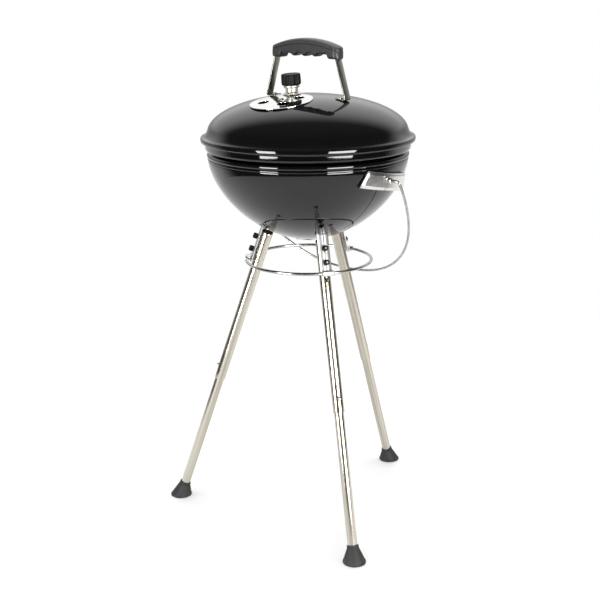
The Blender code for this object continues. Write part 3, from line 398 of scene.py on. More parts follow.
# ---------------------------------------------------------------- the bench
class Piece:
    """A mesh on the bench, shaped with edit-mode operators and modifiers."""

    def __init__(self, thing: bpy.types.Object, name: str) -> None:
        """Name the object that a primitive operator has just added."""
        self.thing = thing
        self.thing.name = name
        self.thing.data.name = name

    @classmethod
    def start(cls, name: str, primitive: str, **settings: Any) -> "Piece":
        """Add a mesh primitive.

        Args:
            name: Name of the piece.
            primitive: Which primitive operator, such as "grid".
            **settings: The operator's settings.

        Returns:
            The new piece.
        """
        bpy.ops.object.select_all(action="DESELECT")
        getattr(bpy.ops.mesh, f"primitive_{primitive}_add")(**settings)
        return cls(bpy.context.active_object, name)

    def hold(self) -> None:
        """Select this piece alone and make it active."""
        bpy.ops.object.select_all(action="DESELECT")
        self.thing.select_set(True)
        bpy.context.view_layer.objects.active = self.thing

    @contextmanager
    def editing(self) -> Iterator[None]:
        """Work in edit mode with everything selected."""
        self.hold()
        bpy.ops.object.mode_set(mode="EDIT")
        bpy.ops.mesh.select_all(action="SELECT")
        yield
        bpy.ops.object.mode_set(mode="OBJECT")

    def put(self, points: Sequence[Vector]) -> None:
        """Move each point of the mesh to its place."""
        flat = [number for point in points for number in point]
        self.thing.data.vertices.foreach_set("co", flat)
        self.thing.data.update()

    def clean(self) -> "Piece":
        """Merge doubles, drop loose edges and point all faces outwards."""
        with self.editing():
            bpy.ops.mesh.remove_doubles(threshold=WELD)
            bpy.ops.mesh.delete_loose(use_verts=True, use_edges=True, use_faces=False)
            bpy.ops.mesh.select_all(action="SELECT")
            bpy.ops.mesh.normals_make_consistent(inside=False)
        return self

    @classmethod
    def turned(cls, name: str, outline: Outline, steps: int) -> "Piece":
        """Spin a closed outline of (radius, z) points once round Z."""
        piece = cls.start(name, "circle", vertices=len(outline), radius=1.0, fill_type="NOTHING")
        piece.put([Vector((radius, 0.0, z)) for radius, z in outline])
        with piece.editing():
            bpy.ops.mesh.spin(steps=steps, angle=tau, center=(0, 0, 0), axis=(0, 0, 1))
        return piece.clean()

    @classmethod
    def sheet(cls, name: str, across: int, up: int, at: Callable[[float, float], Vector]) -> "Piece":
        """Lay a grid out by a formula.

        Args:
            name: Name of the piece.
            across: Squares across.
            up: Squares up.
            at: Place of the point at (u, v), both 0 to 1.

        Returns:
            The open sheet.
        """
        piece = cls.start(name, "grid", x_subdivisions=across, y_subdivisions=up, size=2.0)
        piece.put([at((vertex.co.x + 1) / 2, (vertex.co.y + 1) / 2) for vertex in piece.thing.data.vertices])
        return piece

    @classmethod
    def lofted(cls, name: str, rings: Sequence[Sequence[Vector]], capped: bool = True) -> "Piece":
        """Skin rings of equal point counts, and close its ends if capped."""
        count, last = len(rings[0]), len(rings) - 1

        def at(u: float, v: float) -> Vector:
            """Point of the ring that v picks."""
            return rings[round(v * last)][round(u * count) % count]

        piece = cls.sheet(name, count, last, at)
        if capped:
            with piece.editing():
                bpy.ops.mesh.remove_doubles(threshold=WELD)
                bpy.ops.mesh.fill_holes(sides=0)
        return piece.clean()

    @classmethod
    def prism(cls, name: str, outline: Outline, half: float) -> "Piece":
        """Stand an (x, z) outline up as a solid from -half to half along Y."""
        piece = cls.start(name, "circle", vertices=len(outline), radius=1.0, fill_type="NGON")
        piece.put([Vector((x, -half, z)) for x, z in outline])
        with piece.editing():
            bpy.ops.mesh.extrude_region_move(TRANSFORM_OT_translate={"value": (0, 2 * half, 0)})
        return piece.clean()

    @classmethod
    def wire(cls, name: str, path: Sequence[Vector], radius: float, sides: int) -> "Piece":
        """Sweep a round wire along a path of points, with slightly rounded ends."""
        rings: list[list[Vector]] = []
        side: Vector | None = None
        for index, point in enumerate(path):
            along = (path[min(index + 1, len(path) - 1)] - path[max(index - 1, 0)]).normalized()
            side = along.orthogonal() if side is None else side
            side = (side - along * side.dot(along)).normalized()
            up = along.cross(side)
            ring = [(side * cos(tau * k / sides) + up * sin(tau * k / sides)) * radius for k in range(sides)]
            end = -1 if index == 0 else 1 if index == len(path) - 1 else 0
            tip = [[point + along * radius * 0.5 * end * share + spoke * width for spoke in ring]
                   for share, width in ((0.0, 1.0), (0.6, 0.86), (1.0, 0.55))]
            rings += tip[::-1] if end < 0 else tip if end > 0 else tip[:1]
        return cls.lofted(name, rings)

    @classmethod
    def rod(cls, name: str, start: Vector, end: Vector, radius: float, sides: int = 24) -> "Piece":
        """Make a straight round bar between two points."""
        turn = (end - start).to_track_quat("Z", "Y").to_euler()
        return cls.start(name, "cylinder", vertices=sides, radius=radius, depth=(end - start).length,
                         location=(start + end) / 2, rotation=turn).settle()

    def settle(self) -> "Piece":
        """Put the object's place into its mesh."""
        self.hold()
        bpy.ops.object.transform_apply(location=True, rotation=True, scale=True)
        return self

    def place(self, matrix: Matrix) -> "Piece":
        """Move the piece by a matrix, and keep the move in its mesh."""
        self.thing.matrix_world = matrix
        return self.settle()

    def copy(self, name: str) -> "Piece":
        """Return a copy with its own mesh."""
        twin = self.thing.copy()
        twin.data = self.thing.data.copy()
        bpy.context.scene.collection.objects.link(twin)
        return Piece(twin, name)

    def drop(self) -> None:
        """Take the piece off the bench."""
        bpy.data.objects.remove(self.thing, do_unlink=True)

    def apply(self, kind: str, **settings: Any) -> "Piece":
        """Add a modifier, set it up and apply it."""
        step = self.thing.modifiers.new("step", kind)
        for key, value in settings.items():
            setattr(step, key, value)
        self.hold()
        bpy.ops.object.modifier_apply(modifier=step.name)
        return self

    def cut(self, *tools: "Piece") -> "Piece":
        """Take other solids out of this one and drop them."""
        for tool in tools:
            self.apply("BOOLEAN", operation="DIFFERENCE", object=tool.thing, solver="EXACT")
            tool.drop()
        return self

    def weld(self, *others: "Piece") -> "Piece":
        """Fuse other solids into this one."""
        for other in others:
            self.apply("BOOLEAN", operation="UNION", object=other.thing, solver="EXACT")
            other.drop()
        return self

    def gather(self, *others: "Piece") -> "Piece":
        """Join other pieces into this object."""
        self.hold()
        for other in others:
            other.thing.select_set(True)
        bpy.ops.object.join()
        return self

    def ease(self, width: float, angle: float = SHARP) -> "Piece":
        """Round every edge that is sharper than an angle in degrees."""
        return self.apply("BEVEL", width=width, segments=2, limit_method="ANGLE", angle_limit=radians(angle),
                          use_clamp_overlap=True, harden_normals=False)

    def fit(self, body: str, slot: Slot, material: bpy.types.Material, *nodes: str, smooth: float = 35.0) -> None:
        """Finish the piece and set it on its body.

        Args:
            body: Body that carries it.
            slot: Its material slot; not used.
            material: Its finish.
            *nodes: Nodes that it stands for.
            smooth: Edges flatter than this many degrees are shaded smooth.
        """
        self.hold()
        bpy.ops.object.shade_smooth_by_angle(angle=radians(smooth))
        self.thing.data.materials.clear()
        self.thing.data.materials.append(material)
        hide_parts(*nodes)
        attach(self.thing, body)
        LOG.info("%s: %d faces on %s", self.thing.name, len(self.thing.data.polygons), body)


def bow(middle: tuple[float, float], radii: tuple[float, float], start: float, end: float, steps: int) -> Outline:
    """Points of an elliptic arc between two angles in degrees."""
    angles = [radians(start + (end - start) * k / steps) for k in range(steps + 1)]
    return [(middle[0] + radii[0] * cos(a), middle[1] + radii[1] * sin(a)) for a in angles]


def circle(middle: tuple[float, float], radius: float) -> Outline:
    """Sixteen points round a wire's section."""
    return bow(middle, (radius, radius), 0, 337.5, 15)


def polar(radius: float, angle: float, z: float = 0.0) -> Vector:
    """Point at a radius and an angle round Z."""
    return Vector((radius * cos(angle), radius * sin(angle), z))


def punches(vent: float, radius: float, azimuths: Sequence[float], reach: tuple[float, float],
            sides: int) -> list[Piece]:
    """Cutters for the rivet hole of a damper and the vents round it.

    Args:
        vent: Radius of a vent.
        radius: Distance of the vents from the rivet.
        azimuths: Angle of each vent.
        reach: Lower and upper end of the cutters.
        sides: Facets of a vent.

    Returns:
        The upright cutters.
    """
    low, high = reach
    tools = [Piece.rod("hole", Vector((0, 0, low)), Vector((0, 0, high)), RIVET_HOLE)]
    for azimuth in azimuths:
        tools.append(Piece.rod("hole", polar(radius, azimuth, low), polar(radius, azimuth, high), vent, sides))
    return tools


def shifted(line: Outline, distance: float) -> Outline:
    """Shift a line of points to its left by a distance, with mitred corners."""
    result: Outline = []
    for index, (px, pz) in enumerate(line):
        normals = []
        for start, end in ((index - 1, index), (index, index + 1)):
            if start < 0 or end >= len(line):
                continue
            dx, dz = line[end][0] - line[start][0], line[end][1] - line[start][1]
            length = max(hypot(dx, dz), 1e-9)
            normals.append((-dz / length, dx / length))
        nx = sum(n[0] for n in normals) / len(normals)
        nz = sum(n[1] for n in normals) / len(normals)
        scale = distance / (nx * nx + nz * nz)
        result.append((px + nx * scale, pz + nz * scale))
    return result


def curve(first: Vector, middle: Vector, last: Vector, steps: int) -> Outline:
    """Points of a quadratic curve that heads for its middle point."""
    shares = [k / steps for k in range(steps + 1)]
    points = [first * (1 - t) ** 2 + middle * 2 * t * (1 - t) + last * t ** 2 for t in shares]
    return [(point.x, point.y) for point in points]


def smooth_step(value: float, low: float, high: float) -> float:
    """Ease from 0 at low to 1 at high."""
    share = min(max((value - low) / (high - low), 0.0), 1.0)
    return share * share * (3 - 2 * share)


def oval(angle: float, powers: tuple[float, float]) -> tuple[float, float]:
    """Point of a unit superellipse at an angle."""
    return max(cos(angle), 0.0) ** (2 / powers[0]), sin(angle) ** (2 / powers[1])


def rounded(corners: Outline, radius: float) -> Outline:
    """Replace the inner corners of an open line with smooth bends."""
    line = [corners[0]]
    for before, corner, after in zip(corners, corners[1:], corners[2:]):
        here = Vector(corner)
        back, ahead = Vector(before) - here, Vector(after) - here
        reach = min(radius, back.length * 0.48, ahead.length * 0.48)
        line += curve(here + back.normalized() * reach, here, here + ahead.normalized() * reach, 6)
    return line + [corners[-1]]


def band(line: Outline, thick: float) -> Outline:
    """Closed outline of a strip of that thickness along a line."""
    return shifted(line, thick / 2) + shifted(line, -thick / 2)[::-1]


# ---------------------------------------------------------------- shapes that neighbours share
@dataclass
class KettleShape:
    """Curves of the bowl and the lid, in the kettle's own frame."""

    axis_y: float = -0.0441
    seat: float = 0.7215
    sheet: float = 0.0015
    dome_radius: float = 0.1818
    dome_start: float = 0.0124
    dome_height: float = 0.0633
    dome_powers: tuple[float, float] = (2.07, 1.83)
    bowl_radius: float = 0.1825
    bowl_drop: float = 0.0337
    bowl_depth: float = 0.155
    bowl_powers: tuple[float, float] = (1.8, 1.69)
    bowl_start: float = radians(3.9)
    screw_x: float = 0.0775

    @property
    def place(self) -> Matrix:
        """Frame of the kettle axis."""
        return Matrix.Translation((0, self.axis_y, 0))

    @property
    def pole(self) -> float:
        """Lowest outer point of the bowl."""
        return self.seat - self.bowl_drop - self.bowl_depth

    def dome(self, radius: float) -> float:
        """Outer height of the lid at a radius."""
        share = max(0.0, 1 - (radius / self.dome_radius) ** self.dome_powers[0])
        return self.seat + self.dome_start + self.dome_height * share ** (1 / self.dome_powers[1])

    def dome_slope(self, radius: float) -> float:
        """Fall of the lid surface at a radius, as an angle."""
        return atan2(self.dome(radius - 0.0005) - self.dome(radius + 0.0005), 0.001)

    def tab_screw(self, side: int, height: float) -> tuple[Vector, Vector]:
        """Place of a handle screw at a height, and the way it points.

        Args:
            side: -1 for the left screw, 1 for the right one.
            height: Height of the place.

        Returns:
            The place and the direction, in the kettle frame.
        """
        slope = self.dome_slope(self.screw_x)
        return Vector((side * self.screw_x, 0, height)), Vector((side * sin(slope), 0, cos(slope)))

    def dome_line(self) -> Outline:
        """Outer dome points from the apex to its foot."""
        steps = 44
        line: Outline = [(0.0, self.dome(0.0))]
        for index in range(1, steps + 1):
            out, up = oval(pi / 2 * (1 - index / steps), self.dome_powers)
            line.append((self.dome_radius * out, self.seat + self.dome_start + self.dome_height * up))
        return line

    def bowl(self, radius: float) -> float:
        """Outer height of the bowl at a radius, below its bead."""
        share = max(0.0, 1 - (radius / self.bowl_radius) ** self.bowl_powers[0])
        return self.seat - self.bowl_drop - self.bowl_depth * share ** (1 / self.bowl_powers[1])

    def bowl_line(self) -> Outline:
        """Outer bowl points from its lip over the collar, neck and bead down to the pole."""
        steps = 46
        rim: Outline = [(0.1812, -0.0030), (0.1821, -0.0033), (0.1825, -0.0042), (0.1824, -0.0052),
                        (0.1800, -0.0110), (0.1774, -0.0155), (0.1768, -0.0170), (0.1767, -0.0184),
                        (0.1770, -0.0200), (0.1778, -0.0216), (0.1790, -0.0233), (0.1800, -0.0247)]
        rim += bow((0.1780, -0.0306), (0.0058, 0.0054), 62, -62, 14)
        rim += bow((0.1804, -0.0374), (0.0021, 0.0026), 62, -48, 10)
        line = [(radius, self.seat + z) for radius, z in rim]
        for share in [0.0, 0.006] + [index / steps for index in range(1, steps + 1)]:
            out, down = oval(self.bowl_start + (pi / 2 - self.bowl_start) * share, self.bowl_powers)
            line.append((self.bowl_radius * out, self.seat - self.bowl_drop - self.bowl_depth * down))
        line[-1] = (0.0, line[-1][1])
        return line

    def bowl_wall(self, z: float) -> float:
        """Outer radius of the bowl's lower body at a height."""
        share = max(0.0, min(1.0, (self.seat - self.bowl_drop - z) / self.bowl_depth)) ** self.bowl_powers[1]
        return self.bowl_radius * (1 - share) ** (1 / self.bowl_powers[0])

    def bowl_solid(self) -> Piece:
        """Solid one seating gap outside the bowl, to trim what is welded to it."""
        skin = shifted(self.bowl_line(), GAP)
        skin[-1] = (0.0, self.pole - GAP)
        return Piece.turned("bowl_solid", [(0.0, skin[0][1])] + skin, 96)


def rivet(name: str, stack: float, up: float = 1.0) -> Piece:
    """Domed rivet through a stack of sheets, its head seated at z = 0."""
    head, tall = 0.0055, 0.0020
    line: Outline = [(0.0, tall)] + bow((0.0, 0.0), (head, tall), 78, 12, 7)
    line += [(head, 0.0), (RIVET_SHANK, 0.0), (RIVET_SHANK, -stack), (0.0045, -stack), (0.0044, -stack - 0.0007),
             (0.0034, -stack - 0.0013), (0.0, -stack - 0.0015)]
    return Piece.turned(name, [(radius, z * up) for radius, z in line], 32)


# ---------------------------------------------------------------- sub-assemblies
@dataclass
class SubAssembly:
    """What every sub-assembly shares: the kettle's curves and the finishes."""

    shape: KettleShape
    paint: Paintshop

    def dress(self, piece: Piece, body: str, slot: Slot, *nodes: str, smooth: float = 35.0) -> None:
        """Give a piece the plain finish of its slot and set it on its body."""
        piece.fit(body, slot, self.paint.get(slot), *nodes, smooth=smooth)


@dataclass
class KettleBowl(SubAssembly):
    """Bowl with its vents, the damper under it and the grate rests inside."""

    vent: float = 0.0055
    vent_circle: float = 0.018
    damper_radius: float = 0.030
    damper_sheet: float = 0.001
    lever_end: float = 0.052
    lever_width: float = 0.010
    rest_top: float = COOKING_HEIGHT - GAP
    rest_azimuths: tuple[float, ...] = (radians(30), radians(150), radians(270))
    rest_limit: float = 0.1790

    def build(self) -> None:
        """Build every piece."""
        self.build_bowl()
        self.build_damper()
        self.build_rests()

    def vents(self) -> list[Piece]:
        """Cutters for the three vents and the rivet hole, in the kettle frame."""
        return punches(self.vent, self.vent_circle, [tau * turn / 3 for turn in range(3)],
                       (self.shape.pole - 0.012, self.shape.pole + 0.012), 32)

    def build_bowl(self) -> None:
        """Spin the pressed bowl and punch its vents."""
        outer = self.shape.bowl_line()
        inner = shifted(outer, -self.shape.sheet)
        inner[0] = (outer[0][0] - 0.0012, outer[0][1] - 0.0002)
        inner[-1] = (0.0, self.shape.pole + self.shape.sheet)
        bowl = Piece.turned("bowl_shell", outer[::-1] + inner, SHELL_STEPS)
        bowl.cut(*self.vents()).place(self.shape.place)
        self.dress(bowl, "kettle", Slot.PORCELAIN, "bowl", smooth=SHARP)

    def build_damper(self) -> None:
        """Dished disc with its folded lever and rivet."""
        shape, radius = self.shape, self.damper_radius
        rise = shape.bowl(radius) - shape.pole
        top = [(radius * k / 14, rise * (k / 14) ** 2 - GAP) for k in range(15)]
        under = [(r, z - self.damper_sheet) for r, z in reversed(top)]
        disc = Piece.turned("bowl_damper_disc", top + under, 72)
        edge = top[-1][1]
        line = rounded([(radius * 0.88, edge - 0.0005), (self.lever_end - 0.006, edge - 0.0005),
                        (self.lever_end - 0.0008, edge - 0.0005)], 0.001)
        lever = Piece.prism("lever", band(line, self.damper_sheet * 0.8), self.lever_width / 2)
        lever.place(Matrix.Rotation(pi / 2, 4, "Z"))
        disc.weld(lever)
        disc.place(Matrix.Translation((0, 0, shape.pole))).cut(*self.vents()).ease(0.00025)
        disc.place(shape.place).fit("bowl_damper", Slot.CHROME, self.paint.get(Slot.BOLT), "bowl_damper")
        head = shape.pole - self.damper_sheet - 2 * GAP
        pin = rivet("bowl_damper_pin", shape.pole + shape.sheet + 0.0003 - head, up=-1.0)
        pin.place(shape.place @ Matrix.Translation((0, 0, head)))
        self.dress(pin, "kettle", Slot.CHROME, "bowl_damper_rivet")

    def build_rests(self) -> None:
        """Three folded tabs that carry the cooking grate."""
        top = self.rest_top
        wall = min(self.shape.bowl_wall(top), self.rest_limit) - self.shape.sheet - 0.0010
        line = rounded([(wall - 0.0100, top - 0.001), (wall - 0.0012, top - 0.001), (wall - 0.0012, top - 0.0054)],
                       0.002)
        model = Piece.prism("rest", band(line, 0.0018), 0.0058).ease(FINE_ROUND, 40.0)
        for index, azimuth in enumerate(self.rest_azimuths):
            tab = model.copy(f"grate_tab_{index + 1}")
            tab.place(self.shape.place @ Matrix.Rotation(azimuth, 4, "Z"))
            self.dress(tab, "kettle", Slot.BRACKET, f"grate_rest_{index + 1}")
        model.drop()


@dataclass
class Grates(SubAssembly):
    """Welded wire grates for the coals and for cooking."""

    thick: float = 0.004
    pitch: float = 0.018
    rim_width: float = 0.010
    cooking_radius: float = 0.1715

    def build(self) -> None:
        """Build both grates."""
        coal_radius = self.shape.bowl_wall(COAL_HEIGHT) - self.shape.sheet - 0.0012
        self.grate("charcoal_grate", coal_radius, COAL_HEIGHT, turned=False)
        self.grate("cooking_grate", self.cooking_radius, COOKING_HEIGHT, turned=True)

    def grate(self, body: str, radius: float, low: float, turned: bool) -> None:
        """Weld bars across a ring.

        Args:
            body: Body and node name.
            radius: Outer radius of the ring.
            low: Height of its underside.
            turned: True if the bars run along Y.
        """
        wire = self.thick / 2
        middle = low + wire
        ring = Piece.turned(body + "_wires", circle((radius - wire, middle), wire), 120)
        bars: list[Piece] = []
        reach = radius - wire
        count = int((radius - self.rim_width) / self.pitch)
        for index in range(-count, count):
            across = (index + 0.5) * self.pitch
            half = sqrt(max(reach ** 2 - across ** 2, 0.0))
            bars.append(self.bar(half, across, middle + 0.0002, 0.0016))
        for across in (-0.45 * radius, 0.45 * radius):
            half = sqrt(reach ** 2 - across ** 2)
            cross = self.bar(half, across, middle - 0.0006, 0.0013)
            bars.append(cross.place(Matrix.Rotation(pi / 2, 4, "Z")))
        ring.gather(*bars)
        ring.place(self.shape.place @ Matrix.Rotation(pi / 2 if turned else 0.0, 4, "Z"))
        self.dress(ring, body, Slot.WIRE, body)

    @staticmethod
    def bar(half: float, across: float, z: float, radius: float) -> Piece:
        """One straight bar along X."""
        path = [Vector((half * share, across, z)) for share in (-1, -0.5, 0, 0.5, 1)]
        return Piece.wire("bar", path, radius, 10)


@dataclass
class LidDamper(SubAssembly):
    """Dished disc that turns over the lid vents, with its ribbed knob."""

    offset: float = 0.072
    radius: float = 0.056
    sag: float = 0.003
    sheet: float = 0.001
    vent: float = 0.010
    vent_circle: float = 0.0315
    vent_azimuths: tuple[float, ...] = (radians(-133), radians(-43), radians(47))
    knob_circle: float = 0.0456
    knob_azimuth: float = radians(105.2)
    knob_radius: float = 0.0176
    knob_height: float = 0.0195
    knob_ribs: int = 18
    knob_flute: float = 0.0011
    pedestal_radius: float = 0.0165
    waist: float = 0.0112
    pedestal_height: float = 0.016

    @property
    def place(self) -> Matrix:
        """Frame of the disc on the dome, in the world."""
        seat = Matrix.Translation((0, -self.offset, self.shape.dome(self.offset)))
        turn = Matrix.Rotation(self.shape.dome_slope(self.offset), 4, "X")
        return self.shape.place @ seat @ turn @ Matrix.Translation((0, 0, GAP))

    def fall(self, radius: float) -> float:
        """Fall of the disc from its middle to a radius."""
        return self.sag * (radius / self.radius) ** 2

    def holes(self) -> list[Piece]:
        """Cutters for the vents and the rivet, in the disc's frame."""
        return punches(self.vent, self.vent_circle, self.vent_azimuths, (-0.03, 0.02), 48)

    def build(self) -> None:
        """Build the disc, its rivet, the pedestal and the knob."""
        steps = 22
        under = [(self.radius * k / steps, -self.fall(self.radius * k / steps)) for k in range(steps + 1)]
        top = [(r, z + self.sheet) for r, z in under]
        disc = Piece.turned("lid_damper_disc", top + under[::-1], 112)
        disc.cut(*self.holes()).ease(0.0003).place(self.place)
        self.dress(disc, "lid_damper", Slot.CHROME, "lid_damper")
        pin = rivet("lid_damper_pin", self.sheet + self.shape.sheet + 3 * GAP)
        pin.place(self.place @ Matrix.Translation((0, 0, self.sheet + GAP)))
        self.dress(pin, "lid", Slot.CHROME, "lid_damper_rivet")

        lean = atan2(2 * self.sag * self.knob_circle, self.radius ** 2)
        seat = self.sheet - self.fall(self.knob_circle) + GAP + 0.0002
        spot = Matrix.Translation(polar(self.knob_circle, self.knob_azimuth, seat))
        stand = self.place @ spot @ Matrix.Rotation(self.knob_azimuth, 4, "Z") @ Matrix.Rotation(lean, 4, "Y")
        tall, waist, base = self.pedestal_height, self.waist, self.pedestal_radius
        line: Outline = [(0.0, 0.0), (base - 0.0003, 0.0), (base, 0.0004), (base - 0.0002, 0.0011)]
        line += bow((base - 0.0004, 0.0062), (base - waist - 0.0004, 0.0050), 265, 185, 8)
        line += [(waist + out, tall * up) for out, up in (
            (0.0, 0.50), (0.0, 0.58), (0.0007, 0.60), (0.0007, 0.63), (0.0002, 0.65), (0.0005, 0.69),
            (0.0024, 0.76), (0.0034, 0.84), (0.0036, 0.95), (0.0032, 1.0))]
        line += [(0.0, tall)]
        pedestal = Piece.turned("knob_post", line, 64)
        pedestal.place(stand).fit("lid_damper", Slot.CHROME, self.paint.get(Slot.CAST), "knob_pedestal", smooth=40.0)
        knob = Piece.lofted("knob_cap", self.knob_rings(tall + GAP))
        knob.place(stand).fit("lid_damper", Slot.KNOB, self.paint.get(Slot.KNOB, stand), "damper_knob", smooth=30.0)

    def knob_rings(self, base: float) -> list[list[Vector]]:
        """Fluted rings from the underside to the dished top of the knob."""
        high = self.knob_height
        rings: list[list[Vector]] = []
        profile = [(0.0, 0.86, 0.0), (0.0003, 0.92, 0.4), (0.0012, 0.97, 1.0), (0.0035, 1.0, 1.0),
                   (high - 0.0045, 0.985, 1.0), (high - 0.0016, 0.970, 1.0), (high - 0.0005, 0.955, 0.8),
                   (high, 0.92, 0.3), (high, 0.86, 0.0), (high - 0.0006, 0.78, 0.0), (high - 0.0008, 0.40, 0.0)]
        points = 6 * self.knob_ribs
        for z, scale, flute in profile:
            ring = []
            for k in range(points):
                wave = (0.5 - 0.5 * cos(tau * k / 6)) ** 2.2
                radius = (self.knob_radius - self.knob_flute * flute * wave) * scale
                ring.append(polar(radius, tau * k / points, base + z))
            rings.append(ring)
        return rings


@dataclass
class KettleLid(SubAssembly):
    """Pressed dome with its flange and skirt."""

    damper: LidDamper

    def build(self) -> None:
        """Spin the lid and punch its holes."""
        seat = self.shape.seat
        dome = self.shape.dome_line()
        inner = shifted(dome, -self.shape.sheet)
        inner[0] = (0.0, inner[0][1])
        dome = [point for point in dome if point[1] > seat + 0.0180]
        foot, bend, ledge = Vector((0.18085, 0.0177)), Vector((0.1857, 0.0026)), Vector((0.1898, 0.0026))
        rim = curve(foot, bend, ledge, 10) + [(0.1915, 0.0024)] + bow((0.1926, -0.0018), (0.0023, 0.0039), 80, 9, 8)
        rim += [(0.19492, -0.0016), (0.1949, -0.0022), (0.1947, -0.0048), (0.1946, -0.0052)]
        rim += bow((0.1936, -0.0054), (0.0010, 0.0008), -14, -90, 5)
        rim += [(0.1905, -0.0061), (0.1891, -0.0064), (0.1882, -0.0072), (0.1876, -0.0085), (0.1874, -0.0096),
                (0.18725, -0.0106), (0.1867, -0.0170), (0.1865, -0.0180), (0.1861, -0.0194), (0.1851, -0.0209),
                (0.1839, -0.0215), (0.1828, -0.0212), (0.1826, -0.0203), (0.1838, -0.0192), (0.1846, -0.0176),
                (0.1851, -0.0130), (0.1855, -0.0065), (0.1852, -0.0035), (0.1842, -0.0027), (0.1806, -0.0027),
                (0.1803, -0.0010)]
        outline = dome + [(r, seat + z) for r, z in rim] + inner[:0:-1] + [inner[0]]
        lid = Piece.turned("lid_shell", outline, SHELL_STEPS)
        local = self.shape.place.inverted() @ self.damper.place
        holes = [tool.place(local) for tool in self.damper.holes()]
        for side in (-1, 1):
            middle, along = self.shape.tab_screw(side, self.shape.dome(self.shape.screw_x))
            holes.append(Piece.rod("hole", middle - along * 0.02, middle + along * 0.01, SHANK_HOLE))
        lid.cut(*holes).place(self.shape.place)
        self.dress(lid, "lid", Slot.PORCELAIN, "lid", smooth=SHARP)


